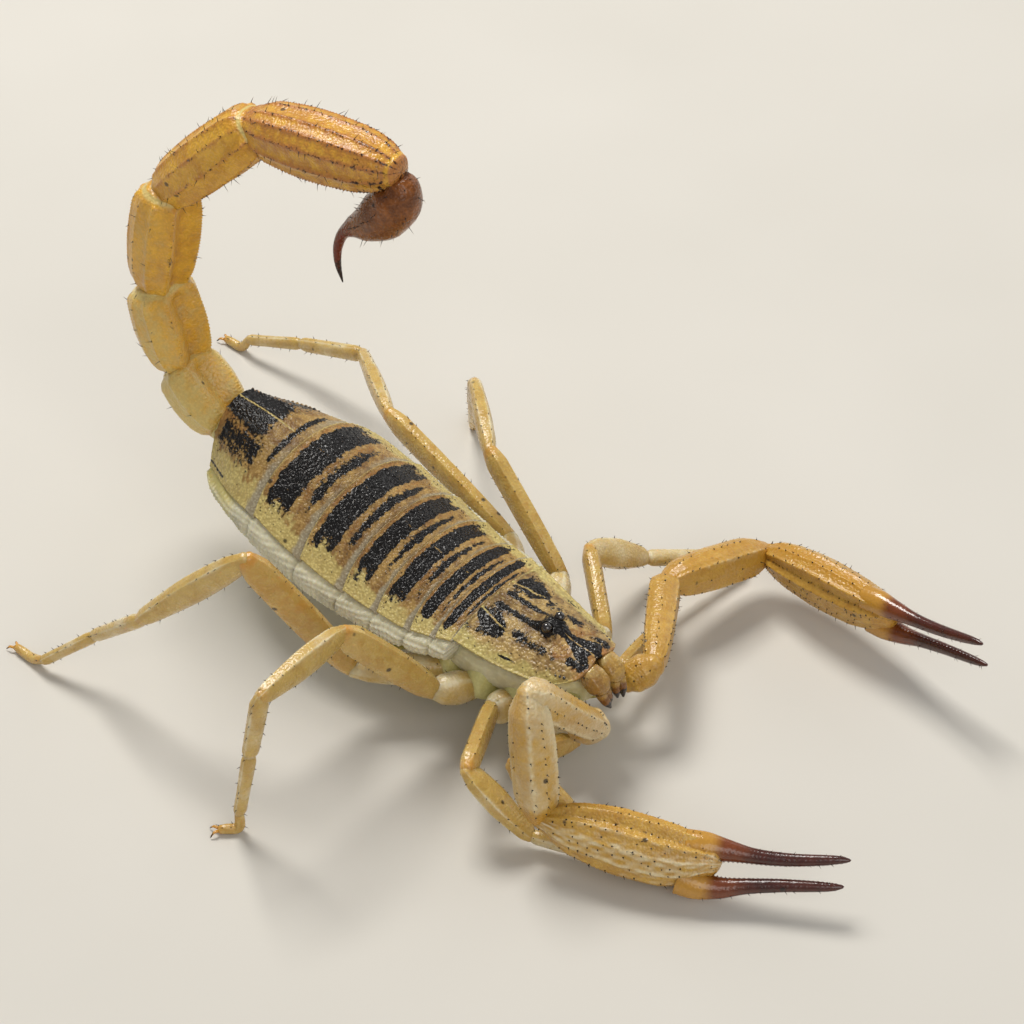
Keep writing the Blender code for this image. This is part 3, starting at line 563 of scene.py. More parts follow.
# %% Masks on tubes
def keel_mask(grid, keels, width=7):
    """Sum of bells round the keels' angles, at most 1."""
    return np.clip(sum(ridge(grid["TH"], keel[0], width) for keel in keels), 0, 1)


def end_mask(grid, start, end):
    """1 within the given distances of a segment's two ends, falling off smoothly."""
    low = 1 / (1 + np.exp((grid["S"] - start) / 0.07))
    high = 1 / (1 + np.exp((grid["length"] - end - grid["S"]) / 0.07))
    return low, high


# %% Tail marks
TAIL_BLACK = (0.02, 0.08, 0.14, 0.22, 0.30)


def tail_marks(tube, index):
    """Marks of one tail segment: pale flanks and far collar, warmer keels towards the sting,
    broken black dashes along the keels, soft skin at the near rim, and painted shade as a warm,
    darker tint in the upper groove of segments 2 to 4."""
    low, high = end_mask(tube, 0.10, 0.22)
    keels = keel_mask(tube, TAIL_KEELS, 5)
    side_face = ridge(tube["TH"], 0, 60) + ridge(tube["TH"], 180, 60)
    collar = bell(tube["S"], tube["length"] - 0.03, 0.09)
    tube["light"] = (np.clip(0.85 - 0.22 * index, 0, 1) * np.clip(1 - 0.6 * low, 0, 1)
                     * (0.55 + 0.35 * side_face) + 0.8 * collar * (index < 4))
    warm = np.clip((index - 2.4) * 0.30 + 0.35 * high + 0.4 * keels * (index > 0) + 0.15 * low, 0, 1)
    # Painted shade: the last term tints the groove on the upper side of segments 2 to 4 warm and darker.
    tube["warm"] = warm * (1 - collar) + 0.4 * ridge(tube["TH"], 90, 20) * (0 < index < 4)
    dashes = np.clip(4 * (wobble(tube["S"] * 9, tube["TH"] / 40, 60 + index) - 0.35), 0, 1)
    blotches = np.clip(TAIL_BLACK[index] + 0.22 * wobble(tube["S"] * 4, tube["TH"] / 20, index), 0, 0.42)
    tube["band"] = np.maximum(blotches * keels,
                              0.55 * dashes * keel_mask(tube, TAIL_KEELS[4:], 2.5) * (index > 0))
    tube["soft"] = 0.7 * low * (index < 4)


def darken_far_half(tube):
    """Crumbled dark patch on the far half of the last segment, strongest on its upper side."""
    far = np.clip((tube["T"] - 0.45) / 0.5, 0, 1) ** 1.3
    upper_side = 0.35 + 0.65 * ridge(tube["TH"], 90, 75)
    crumbs = 0.35 + 0.65 * np.clip(0.5 + wobble(tube["S"] * 8, tube["TH"] / 9, 3), 0, 1)
    tube["band"] = np.clip(tube["band"] + 0.62 * far * upper_side * crumbs, 0, 0.55)


# %% Tail segments
joint = TAIL_ROOT
TAIL_TUBES = []
for index, (length, heading, pitch, half_width, half_height) in enumerate(TAIL_SEGMENTS):
    last = index == 4
    axis = direction(heading, pitch)
    strength = 0.6 if index == 0 else 1
    relief = [(at, rise * strength, width) for at, rise, width in TAIL_KEELS + TAIL_HOLLOWS]
    sizes = [(f, w * half_width, h * half_height) for f, w, h in (LAST_SHAPE if last else TAIL_SHAPE)]
    tube = shell(joint, axis, level_side(180), length, sizes, relief, beads=0.17, power=2.5, rows=170,
                 cols=150, caps=(0.62, 0.45 if last else 0.30), groove=0.14 if last else 0.42,
                 grains=(0.16, 0.010, 0.35))
    tail_marks(tube, index)
    if last:
        darken_far_half(tube)
    build("tail_segment_%d" % (index + 1), [tube], TAIL, ["metasoma_%d" % (index + 1)])
    TAIL_TUBES.append(tube)
    joint = joint + axis * length
print("tail ends at, mm:", joint.round(2))

# %% Sting path
TELSON_HEADING = 14
TELSON_STEPS = ((0.55, 75), (0.85, 106), (1.0, 124), (1.15, 138), (0.9, 147), (0.75, 136), (0.95, 111),
                (1.0, 92), (1.0, 78))
TELSON_HALF = ((0.50, 0.44), (0.88, 0.80), (1.14, 1.14), (1.16, 1.16), (0.94, 0.86), (0.56, 0.50),
               (0.30, 0.28), (0.22, 0.22), (0.15, 0.15), (0.03, 0.03))
ahead, down = direction(TELSON_HEADING, 0), np.array([0.0, 0.0, -1.0])
turns = np.radians([turn for _, turn in TELSON_STEPS])
steps = np.array([step for step, _ in TELSON_STEPS])[:, None]
moves = steps * (np.cos(turns)[:, None] * ahead + np.sin(turns)[:, None] * down)
telson_path = np.vstack([[0, 0, 0], np.cumsum(moves, axis=0)]) + joint + (0.2 * ahead + down) * 0.3
print("sting tip at, mm:", telson_path[-1].round(2))


# %% Tubes along a path
END_SHARE = 0.15


def tube_path(points, halves, side, rows, cols, power=2.0, relief=None):
    """Closed tube whose rings stand square to a smooth path: half widths along side and half
    heights along the third axis follow the path, and relief scales the radius."""
    points, halves = np.asarray(points, float), np.asarray(halves, float)
    x = np.concatenate([[0], np.cumsum(np.linalg.norm(np.diff(points, axis=0), axis=1))])
    at = np.linspace(0, x[-1], rows)
    centre = smooth_table(np.column_stack([x, points]), at)
    size = curve(np.column_stack([x, halves]), at)
    size[0] *= END_SHARE
    size[-1] *= END_SHARE
    axis = unit(np.gradient(centre, at, axis=0))
    across = unit(side - axis * (axis @ np.asarray(side, float))[:, None])
    up = np.cross(axis, across)
    theta = np.arange(cols) * 360 / cols
    cos, sin = np.cos(np.radians(theta)), np.sin(np.radians(theta))
    radius = (np.abs(cos) ** power + np.abs(sin) ** power) ** (-1 / power)
    S, TH = np.meshgrid(at, theta, indexing="ij")
    R = radius * (1 + (relief(S, TH) if relief else 0))
    P = (centre[:, None] + (size[:, :1] * cos * R)[..., None] * across[:, None]
         + (size[:, 1:] * sin * R)[..., None] * up[:, None])
    return {"P": P, "S": S, "T": S / x[-1], "TH": TH, "length": x[-1]}


# %% Bulb and sting
def bulb_grains(S, TH):
    """Low grains round the middle of the bulb."""
    return 0.03 * granules(S, TH * 0.018, 0.22, 0.45, 24) * bell(S, 2.4, 1.6)


bulb = tube_path(telson_path, TELSON_HALF, -level_side(TELSON_HEADING), 110, 72, relief=bulb_grains)
bulb["band"] = 0.85 * ramp(bulb["T"], 0.70, 0.98)
bulb["warm"] = ramp(bulb["T"], 0.40, 0.62)
bulb["light"] = 0.5 * bell(bulb["T"], 0.28, 0.16) * (0.6 + 0.4 * wobble(bulb["S"] * 2, bulb["TH"] / 30, 5))
build("bulb_and_sting", [bulb], STING, ["telson"])
print("bulb and sting length, mm:", round(bulb["length"], 2))

# %% [markdown]
# ## The pincer arms
# Knob, upper arm, forearm and hand follow each other as keeled tubes. The palm is the same kind
# of tube, much broader than deep. Both fingers are slim curved tubes with a row of small teeth
# on the side that meets the other finger.

# %% Arm sizes
ARM_REACH = (5.75, 6.2)
PALM_LENGTH, CHELA_LENGTH = 7.8, 13.6
ARM_POSES = {"right": ((-1.75, -6.2, 3.1), (-2.07, -7.62, 4.0), (-106, 49), (-36, -72), (23, -5), 50),
             "left": ((1.75, -6.2, 3.1), (2.88, -6.95, 3.8), (123, -3), (76, -12), (-5, 6), 76)}
KNOB = ((0, 0.55, 0.60), (0.25, 0.78, 0.82), (0.65, 0.80, 0.84), (1, 0.56, 0.60))
UPPER_ARM = ((0, 0.44, 0.50), (0.14, 0.60, 0.68), (0.5, 0.70, 0.76), (0.86, 0.74, 0.82), (0.95, 0.68, 0.74),
             (1, 0.54, 0.54))
FOREARM = ((0, 0.46, 0.46), (0.07, 0.64, 0.62), (0.16, 0.80, 0.84), (0.45, 0.90, 0.96), (0.78, 0.88, 0.92),
           (0.92, 0.70, 0.70), (1, 0.50, 0.48))
PALM = ((0, 0.40, 0.40), (0.05, 0.58, 0.55), (0.12, 0.88, 0.78), (0.25, 1.20, 0.92), (0.5, 1.42, 1.02),
        (0.72, 1.38, 0.96), (0.86, 1.18, 0.84), (0.95, 0.92, 0.70), (1, 0.74, 0.58))
PALM_LEAN = ((0, 0), (0.7, 0), (0.86, 0.10), (1, 0.34))
ARM_KEELS = ((38, 0.08, 6), (142, 0.08, 6), (0, 0.03, 6), (180, 0.03, 6), (320, 0.07, 6), (220, 0.07, 6),
             (90, 0.045, 5))
PALM_KEELS = ((3, 0.04, 6), (34, 0.09, 6), (70, 0.065, 5), (98, 0.03, 3), (126, 0.04, 4), (152, 0.04, 4),
              (180, 0.04, 5), (222, 0.05, 5), (262, 0.045, 4), (300, 0.05, 5), (335, 0.045, 5))
PALM_GROOVES = ((52, -0.13, 9), (112, -0.02, 8), (140, -0.02, 8))


print("pincer hand, mm:", CHELA_LENGTH)


# %% Fingers
FINGER_SHARES = np.array([-0.22, -0.08, 0.08, 0.3, 0.55, 0.8, 0.93, 1.0])
FINGER_HALF = np.array([0.66, 0.60, 0.45, 0.31, 0.26, 0.21, 0.15, 0.05])


def finger_middle(t, side):
    """Distance of a finger's middle from the palm's axis: a spread that narrows towards the
    tips, plus a common curl of 1.4 t^1.2."""
    spread = 0.92 - 0.33 * t - 0.16 * np.sin(math.pi * np.clip(1.1 * t, 0, 1))
    return side * spread + 1.4 * np.clip(t, 0, None) ** 1.2


def finger(wrist, axis, broad, side, gape=0.0):
    """One finger as a tube from inside the palm to its tip, gape mm further open at the tip, with
    teeth as beads on the inner side: the radius grows by 12 % times the positive part of a
    cosine along the finger."""
    t = FINGER_SHARES
    inside = finger_middle(0.0, side) + t * (1.3 if side > 0 else -0.5)
    middle = np.where(t < 0, inside, finger_middle(t, side)) - gape * np.clip(t, 0, 1)
    points = (wrist + axis * (PALM_LENGTH + (CHELA_LENGTH - PALM_LENGTH) * t)[:, None]
              + broad * middle[:, None])
    inner = 180 if side > 0 else 0

    def teeth(S, TH):
        """Beads along the inner side, from 1.2 mm on."""
        return 0.12 * ridge(TH, inner, 16) * np.clip(np.cos(2 * math.pi * S / 0.2), 0, 1) * (S > 1.2)

    tube = tube_path(points, np.column_stack([FINGER_HALF * 1.12, FINGER_HALF]), broad, 110, 26,
                     relief=teeth)
    tube["soft"] = ramp(tube["T"], 0.30, 0.10)
    tube["warm"] = 0.7 * ramp(tube["T"], 0.60, 0.25)
    tube["light"] = 0.25 * ridge(tube["TH"], 90, 25) * np.clip(np.cos(2 * math.pi * tube["S"] / 0.35), 0, 1)
    return tube


# %% Arm marks
def knob_marks(knob, sign):
    """Pale knob with dark clouds; the right knob is painted lighter, as painted light."""
    _, high = end_mask(knob, 0.1, 0.2)
    # Painted light: the right knob gets the extra pale.
    knob["light"] = 0.5 * (sign < 0) + 0.15 * high
    knob["band"] = 0.3 * np.clip(wobble(knob["S"] * 4, knob["TH"] / 18, 5), 0, 1)


def arm_marks(tube, sign, warmth, is_fore):
    """Pale keels, warm ends and dark spots. The right arm is painted paler, as painted light, and
    the left arm warmer and darker, as painted shade; the far end of a forearm is warm all round."""
    keels = keel_mask(tube, ARM_KEELS[:2] + ARM_KEELS[4:6])
    low, high = end_mask(tube, 0.15, 0.25)
    spots = np.clip(wobble(tube["S"] * 5, tube["TH"] / 14, 21), 0, 1)
    grit = 0.7 + 0.5 * wobble(tube["S"] * 14, tube["TH"] / 5, 14)
    cuff = is_fore * ramp(tube["T"], 0.82, 0.95)
    # Painted light and shade: the right arm gets far more pale, the left arm the extra warm tone.
    pale = (0.58 if sign < 0 else 0.08) + 0.3 * keels * grit + 0.2 * wobble(tube["S"], tube["TH"] / 50, 12)
    tube["light"] = pale * (1 - 0.8 * cuff)
    tube["warm"] = (0 if sign < 0 else warmth + 0.15) + 0.3 * high + 0.2 * low + 0.5 * cuff
    tube["band"] = 0.36 * np.clip(high + low, 0, 1) * spots + 0.30 * spots * keels


def palm_marks(hand, sign):
    """Pale face, warm flanks and ends, dark spots on the keels, and a dark line painted along the groove as
    painted shade; the right palm's paler face is painted light, the left palm's warmer tone painted shade.
    """
    keels = keel_mask(hand, PALM_KEELS, 5)
    low, high = end_mask(hand, 0.2, 0.5)
    spots = np.clip(wobble(hand["S"] * 4.5, hand["TH"] / 13, 31), 0, 1)
    grit = 0.75 + 0.35 * wobble(hand["S"] * 5, hand["TH"] / 3, 14)
    # Painted shade: a dark line along the groove at 52 degrees.
    hollow_shade = ridge(hand["TH"], 52, 7) * ramp(hand["T"], 0.02, 0.1) * ramp(hand["T"], 1.0, 0.8)
    face = ridge(hand["TH"], 108, 42)
    flanks = ridge(hand["TH"], 0, 30) + ridge(hand["TH"], 185, 32)
    # Painted light and shade: the right palm's face is paler, the left palm warmer.
    hand["light"] = np.clip(0.25 * keels * grit + (0.55 if sign < 0 else 0.15) * face * grit
                            + 0.15 * wobble(hand["S"], hand["TH"] / 50, 13), 0, 1)
    hand["warm"] = (0.15 if sign < 0 else 0.4) + 0.4 * flanks + 0.5 * high + 0.4 * low
    hand["band"] = 0.34 * spots * keels + 0.22 * high + 0.30 * hollow_shade


# %% Arm tubes
ARM_GRAINS, PALM_GRAINS = (0.17, 0.02, 0.35), (0.17, 0.016, 0.5)
LEFT_GAPE = 0.35


def arm_tubes(name, sign):
    """Knob, upper arm, forearm, palm and two fingers of one arm, each starting where the one
    before ends. The palm's broad side turns about its axis by the roll angle."""
    hip, elbow, *turn, roll = ARM_POSES[name]
    hip, elbow = np.array(hip), np.array(elbow)
    femur, patella, palm = [direction(*angles) for angles in turn]
    side, reach = level_side(turn[0][0]), elbow - hip
    knob = shell(hip, unit(reach), side, np.linalg.norm(reach), KNOB, ((40, 0.05, 9), (140, 0.05, 9)),
                 rows=40, cols=48, power=2.3)
    upper = shell(elbow, femur, side, ARM_REACH[0], UPPER_ARM, ARM_KEELS, beads=0.19, rows=170, cols=120,
                  power=2.7, caps=(0.7, 0.5), grains=ARM_GRAINS)
    wrist_start = elbow + femur * ARM_REACH[0]
    fore = shell(wrist_start, patella, side, ARM_REACH[1], FOREARM, ARM_KEELS, beads=0.19, rows=180,
                 cols=130, power=2.6, caps=(0.8, 0.5), grains=ARM_GRAINS)
    wrist = wrist_start + patella * ARM_REACH[1]
    inward, rise = -sign * level_side(turn[2][0]), np.cross(palm, level_side(turn[2][0]))
    broad = math.cos(math.radians(roll)) * inward + math.sin(math.radians(roll)) * rise
    hand = shell(wrist, palm, broad, PALM_LENGTH, PALM, PALM_KEELS + PALM_GROOVES, beads=0.20, rows=220,
                 cols=180, power=2.25, caps=(0.8, 0.8), lean=PALM_LEAN, grains=PALM_GRAINS)
    fixed, moving = finger(wrist, palm, broad, 1), finger(wrist, palm, broad, -1, LEFT_GAPE * (sign > 0))
    return knob, upper, fore, hand, fixed, moving


# %% Arms
ARM_TUBES = {}
for name in ARM_POSES:
    sign = -1 if name == "right" else 1
    knob, upper, fore, hand, fixed, moving = ARM_TUBES[name] = arm_tubes(name, sign)
    knob_marks(knob, sign)
    arm_marks(upper, sign, 0.15, False)
    arm_marks(fore, sign, 0.35, True)
    palm_marks(hand, sign)
    build("arm_knob_" + name, [knob], ARMS, ["palp_trochanter_" + name])
    build("upper_arm_" + name, [upper], ARMS, ["palp_femur_" + name])
    build("forearm_" + name, [fore], ARMS, ["palp_patella_" + name])
    build("palm_" + name, [hand], ARMS, ["palp_hand_" + name])
    build("fixed_finger_" + name, [fixed], CLAWS, [])
    build("moving_finger_" + name, [moving], CLAWS, ["palp_finger_" + name])
print("arms:", ", ".join(ARM_POSES))

# %% [markdown]
# ## The legs
# Eight legs in three objects each, as the solids divide them: the knob with the thigh, the
# shin, and the lower leg down to the claws. The thigh and shin are taller than they are wide,
# with fine beaded keels; the foot rests on its last joint and ends in two curved claws.

# %% Leg sizes
LEG_LENGTHS = {1: (3.4, 3.4, 2.6, 2.3, 1.5), 2: (4.7, 4.3, 3.1, 2.8, 1.6), 3: (6.8, 5.4, 3.9, 3.8, 1.6),
               4: (9.0, 7.1, 4.6, 3.6, 2.1)}
LEG_SCALE = {1: 0.88, 2: 1.0, 3: 1.02, 4: 1.0}
LEG_POSES = {
    "right_1": ((-1.85, -4.6, 2.4), (-1.75, -6.1, 2.0), (-108, 4), (6, -18), (22, -8), (22, -8), 20),
    "right_2": ((-2.6, -2.9, 2.8), (-3.6, -2.7, 3.2), (-63, 9), (20, -46), (21, -3), (26, -6), 23),
    "right_3": ((-2.7, -0.9, 2.8), (-4.42, 0, 3.26), (-116, 51), (-88, 3), (-165, -79), (-142, -80), -134),
    "right_4": ((-2.6, 0.9, 2.6), (-5.67, 3.88, 3.2), (-125, 60), (-154, -43), (-180, -43), (-155, -40),
                178),
    "left_1": ((1.9, -4.6, 2.6), (2.45, -5.2, 2.5), (100, -11), (118, -4), (80, -8), (76, -12), 90),
    "left_2": ((2.6, -3.1, 2.8), (3.7, -3.4, 2.9), (138, 13), (78, -35), (51, -9), (63, -7), 53),
    "left_3": ((2.7, -0.9, 2.8), (4.8, 0.16, 3.6), (166, 34), (138, -3), (133, -54), (131, -56), 131),
    "left_4": ((2.6, 0.9, 2.6), (5.7, 4.0, 3.06), (173, 16), (143, -14), (180, -20), (-172, -19), -179)}
FOOT_RADIUS = 0.26
HIP_SHAPE = ((0, 0.55, 0.62), (0.45, 0.70, 0.80), (0.80, 0.62, 0.70), (1, 0.42, 0.48))
THIGH_SHAPE = ((0, 0.36, 0.44), (0.14, 0.41, 0.60), (0.5, 0.42, 0.70), (0.88, 0.43, 0.66),
               (0.96, 0.37, 0.52), (1, 0.31, 0.43))
SHIN_SHAPE = ((0, 0.29, 0.38), (0.14, 0.38, 0.62), (0.45, 0.42, 0.72), (0.80, 0.36, 0.56),
              (0.95, 0.33, 0.43), (1, 0.27, 0.33))
LOWER_SHAPES = (((0, 0.25, 0.30), (0.12, 0.33, 0.41), (0.7, 0.31, 0.38), (0.94, 0.30, 0.36),
                 (1, 0.24, 0.27)),
                ((0, 0.21, 0.25), (0.12, 0.26, 0.33), (0.7, 0.24, 0.29), (0.94, 0.25, 0.29),
                 (1, 0.21, 0.23)))
LEG_KEELS = ((60, 0.07, 7), (120, 0.07, 7), (242, 0.06, 7), (298, 0.06, 7))


print("leg lengths, mm:", [round(sum(row), 1) for row in LEG_LENGTHS.values()])


# %% Toes and claws
CLAW_LENGTH, TOE_REST = 0.42, 0.07
TOE_HALF = ((0.10, 0.10), (0.19, 0.21), (0.24, 0.25), (0.22, 0.24), (0.17, 0.20), (0.05, 0.06))


def claw(base, forward, outward):
    """Thin curved cone: forward, then outward and down on to the floor."""
    down = np.array([0, 0, base[2] - TOE_REST])
    points = [base, base + forward * CLAW_LENGTH * 0.5 + outward * 0.10 + [0, 0, 0.03],
              base + forward * CLAW_LENGTH + outward * 0.22 - down]
    tube = tube_path(points, ((0.08, 0.08), (0.06, 0.06), (0.02, 0.02)), np.array([0, 0, 1.0]), 12, 8)
    tube["warm"] = np.ones_like(tube["T"])
    tube["band"] = 0.75 * tube["T"]
    return tube


def toe_and_claws(ball, length, heading, side):
    """The last joint bends down from the ball to the floor, then lies level; two claws end it."""
    half_toe = length * 0.5
    pitch = math.degrees(math.asin(max(-0.98, min(0.3, (FOOT_RADIUS - ball[2]) / half_toe))))
    sole = ball + direction(heading, pitch) * half_toe
    sole[2] = FOOT_RADIUS
    level, outward = direction(heading, 0), level_side(heading)
    tip = sole + level * half_toe
    path = [ball - (sole - ball) * 0.12, ball, sole, sole + level * half_toe * 0.6, tip,
            tip + level * 0.08]
    toe = tube_path(path, TOE_HALF, side, 44, 30)
    return toe, [claw(tip + outward * 0.08 * s, level, outward * s) for s in (-1, 1)]


# %% Leg tubes
LEG_GRAINS = (0.15, 0.018, 0.35)


def scaled(shape, scale):
    """A table of sizes with its half widths and heights scaled."""
    return [(f, w * scale, h * scale) for f, w, h in shape]


def leg_tubes(label):
    """Knob, thigh, shin, two lower tubes and toe of one leg, and its claws."""
    hip, root, *turn, toe_heading = LEG_POSES[label]
    scale, lengths = LEG_SCALE[int(label[-1])], LEG_LENGTHS[int(label[-1])]
    hip, root = np.array(hip), np.array(root)
    femur, patella, tibia, basitarsus = [direction(*angles) for angles in turn]
    side, reach = level_side(turn[0][0]), root - hip
    hip_side = level_side(math.degrees(math.atan2(reach[0], -reach[1])))
    knob = shell(hip, unit(reach), hip_side, np.linalg.norm(reach), scaled(HIP_SHAPE, scale), rows=36,
                 cols=40, caps=(0.7, 0.6))
    thigh = shell(root, femur, side, lengths[0], scaled(THIGH_SHAPE, scale), LEG_KEELS, beads=0.16,
                  rows=120, cols=64, caps=(0.7, 0.55), power=2.4, grains=LEG_GRAINS)
    knee = root + femur * lengths[0]
    shin = shell(knee, patella, side, lengths[1], scaled(SHIN_SHAPE, scale), LEG_KEELS, beads=0.16,
                 rows=104, cols=60, caps=(0.75, 0.6), power=2.4, grains=LEG_GRAINS)
    ankle = knee + patella * lengths[1]
    heel = ankle + tibia * lengths[2]
    ball = heel + basitarsus * lengths[3]
    lower = [shell(ankle, tibia, side, lengths[2], scaled(LOWER_SHAPES[0], scale), LEG_KEELS[2:], rows=60,
                   cols=40, caps=(0.8, 0.6)),
             shell(heel, basitarsus, side, lengths[3], scaled(LOWER_SHAPES[1], scale), LEG_KEELS[2:],
                   rows=50, cols=36, caps=(0.8, 0.6))]
    toe, claws = toe_and_claws(ball, lengths[4], toe_heading, side)
    return (knob, thigh, shin, *lower, toe), claws


# %% Leg marks
LEG_TONES = ((0.05, 0.45), (0.30, 0.0), (0.20, 0.25), (0.12, 0.35), (0.2, 0.35), (0.35, 0.0))


def leg_marks(tube, number, warmth, paleness, rim_warmth):
    """Pale keels and outer side, warm ends, and dark spots on the keels and at the far end."""
    low, high = end_mask(tube, 0.12, 0.20)
    keels = keel_mask(tube, LEG_KEELS[:2])
    spots = np.clip(wobble(tube["S"] * 6, tube["TH"] / 20, 40 + number), 0, 1)
    tube["light"] = (0.3 * keels + paleness + 0.25 * ridge(tube["TH"], 180, 50)
                     + 0.15 * wobble(tube["S"] * 2, tube["TH"] / 40, 44))
    tube["warm"] = warmth + rim_warmth * high + 0.2 * low
    tube["band"] = (0.45 * high * np.clip(ridge(tube["TH"], 90, 40) + 0.2, 0, 1) * spots
                    + 0.18 * spots * keels)
    tube["soft"] = 0.3 * low


# %% Legs
LEG_TUBES = {}
for label in LEG_POSES:
    tubes, claws = leg_tubes(label)
    for part, (tube, (warmth, paleness)) in enumerate(zip(tubes, LEG_TONES)):
        if label == "right_4" and part == 1:
            warmth = 0.42
        leg_marks(tube, int(label[-1]), warmth, paleness, 0.30 if part else 0.0)
    build("hip_and_thigh_" + label, tubes[:2], LEGS, ["leg_femur_" + label])
    build("shin_" + label, tubes[2:3], LEGS, ["leg_patella_" + label])
    build("foot_" + label, [*tubes[3:], *claws], LEGS, ["leg_foot_" + label])
    LEG_TUBES[label] = tubes
print(len(LEG_TUBES), "legs")

# %% [markdown]
# ## The back
# Seven back plates overlap like tiles. Each is an arch that is thin at its rim; the front of the
# plate is smooth and tucked under the one before, the rest is covered with granules. The head
# shield is a plate of the same make with keels, furrows and the hump that carries the eyes.

# %% Plates
TRUNK = np.array(((0, 6.10, 5.50, 3.15, 3.10), (1, 6.20, 5.35, 3.40, 3.00), (2.3, 6.45, 5.20, 3.65, 2.90),
                  (4.1, 6.85, 5.40, 3.90, 2.85), (6, 7.45, 5.75, 4.10, 2.95), (8.5, 8.20, 6.30, 4.20, 3.25),
                  (11.6, 8.95, 7.00, 3.95, 4.00), (13.8, 9.25, 6.90, 3.35, 4.80),
                  (15.9, 9.30, 6.60, 2.40, 5.60)))
TERGITE_BORDERS = (0, 1.0, 2.3, 4.1, 6.0, 8.5, 11.6, 15.9)
STERNITE_BORDERS = (2.6, 5.2, 7.8, 10.4, 12.9, 15.9)
ARCH_POWER = 2.3


def surface_normals(P):
    """Unit normals of an open grid from its two gradients, turned upwards."""
    normal = unit(np.cross(np.gradient(P, axis=1), np.gradient(P, axis=0)))
    return normal * np.sign(normal[..., 2].mean())


def plate(P, relief, thickness, marks):
    """Closed grid of a shell plate: the upper face raised by relief along its normals, then the
    lower face back again, thinner towards the rims."""
    normal = surface_normals(P)
    upper = P + normal * relief[..., None]
    rows, cols = relief.shape
    rim = np.minimum(np.sin(np.linspace(0, math.pi, rows))[:, None] * 3, 1)
    rim = np.clip(rim * np.minimum(np.sin(np.linspace(0, math.pi, cols))[None] * 5, 1), 0.35, 1)
    lower = P - normal * (thickness * rim)[..., None]
    grid = {"P": np.concatenate([upper, lower[:, ::-1]], axis=1), "normal": normal, "upper": upper}
    for key, value in marks.items():
        value = np.broadcast_to(value, (rows, cols))
        grid[key] = np.concatenate([value, value[:, ::-1]], axis=1)
    return grid


# %% Plate outline
PLATE_STEP, PLATE_COLUMNS, TUCK = 0.037, 172, 0.22


def plate_outline(number, start, end):
    """Open grid of one back plate. The arch falls off with the share A of the half width to the
    power ARCH_POWER, the rear corners are swept forward by A^6, and the front tucks under the
    plate before. Returns the points, the share F of the length and A."""
    length = end - start
    rows, cols = int(np.clip(length / PLATE_STEP, 46, 118)), PLATE_COLUMNS
    y = np.linspace(start - (TUCK if number > 1 else 0.0), end - 0.02, rows)
    middle, edge, half, _ = smooth_table(TRUNK, y).T[:, :, None]
    F = ((y - start) / length)[:, None] * np.ones((1, cols))
    U = np.linspace(-1, 1, cols)[None] * np.ones((rows, 1))
    A = np.abs(U)
    Y = y[:, None] - 0.22 * A**6 * ramp(F, 0.3, 1.0)
    Z = edge + (middle - edge) * (1 - A**ARCH_POWER) + 0.12 * (F - 1) - 0.06 * ramp(F, 0.10, -0.1)
    return np.stack([U * half, Y, Z], -1), F, A


# %% Plate relief
def plate_relief(number, F, A, X, Y):
    """Height over the arch: grains behind the smooth front, a beaded middle keel, side keels on
    plates 3 to 6 and four long ones on the last, a raised rim, and fine lines in front."""
    rough = ramp(F, 0.10, 0.20)
    grains = granules(X, Y, 0.135, 0.62, number) * (0.030 + 0.014 * ramp(F, 0.45, 0.95))
    keels = bell(X, 0, 0.07) * 0.07 * ramp(F, 0.25, 0.6)
    if 3 <= number <= 6:
        keels = keels + 0.06 * bell(A, 0.40, 0.022) * ramp(F, 0.35, 0.6)
    if number == 7:
        keels = keels + 0.11 * (bell(A, 0.34, 0.022) * ramp(F, 0.25, 0.4)
                                + bell(A, 0.70, 0.024) * ramp(F, 0.3, 0.45))
    bead = 0.6 + 0.4 * np.cos(2 * math.pi * Y / 0.22)
    rim = 0.035 * ramp(F, 0.955, 0.99) + 0.03 * ramp(A, 0.96, 0.99)
    lines = 0.010 * np.sin(2 * math.pi * (Y / 0.10 + 0.2 * wobble(X * 2, Y, 9))) * (1 - rough)
    return grains * rough + keels * bead + rim + lines


# %% Plate markings
def banded_marks(number, F, A, X, Y, frayed):
    """Marks of plates 1 to 6: a broad black band with a pale hook at each side, a thin band
    ahead of it, a pale dash in the middle, pale flanks and rear rim, and warm strips between."""
    reach = 0.95 - 0.10 * np.abs(F - 0.68) / 0.25
    main = (ramp(F + frayed, 0.41, 0.50) * ramp(F + frayed, 0.93, 0.85)
            * ramp(A + 2 * frayed, reach, reach - 0.12))
    hook = ramp(A + 2 * frayed, 0.60, 0.82) * bell(F, 0.66, 0.13) * (number > 2) * 0.8
    thin = (1.1 * bell(F + frayed, 0.24, 0.07) * ramp(A, 0.84, 0.36)
            * (0.9 + 0.3 * wobble(X * 3, Y, 50 + number)))
    thin = thin + 0.35 * bell(F, 0.33, 0.12) * ramp(A, 0.5, 0.1)
    dash = (bell(X, 0, 0.03) * ramp(F, 0.50, 0.56) * ramp(F, 0.86, 0.8)
            * (0.8 + 0.4 * wobble(Y * 6, X, 8)))
    band = np.clip(main * (1 - 0.95 * hook) + thin, 0, 1) * (1 - 0.9 * dash)
    light = np.clip(ramp(A + 3 * frayed, 0.70, 0.90) * 0.8 + 0.6 * ramp(F, 0.965, 0.985)
                    + 0.5 * hook * main + 0.7 * dash, 0, 1)
    warm = np.clip(bell(F, 0.92, 0.05) * 0.5 * ramp(A, 0.8, 0.7)
                   + 0.4 * bell(F, 0.37, 0.07) * ramp(A, 0.8, 0.6), 0, 1)
    return {"band": band, "light": light, "warm": warm}


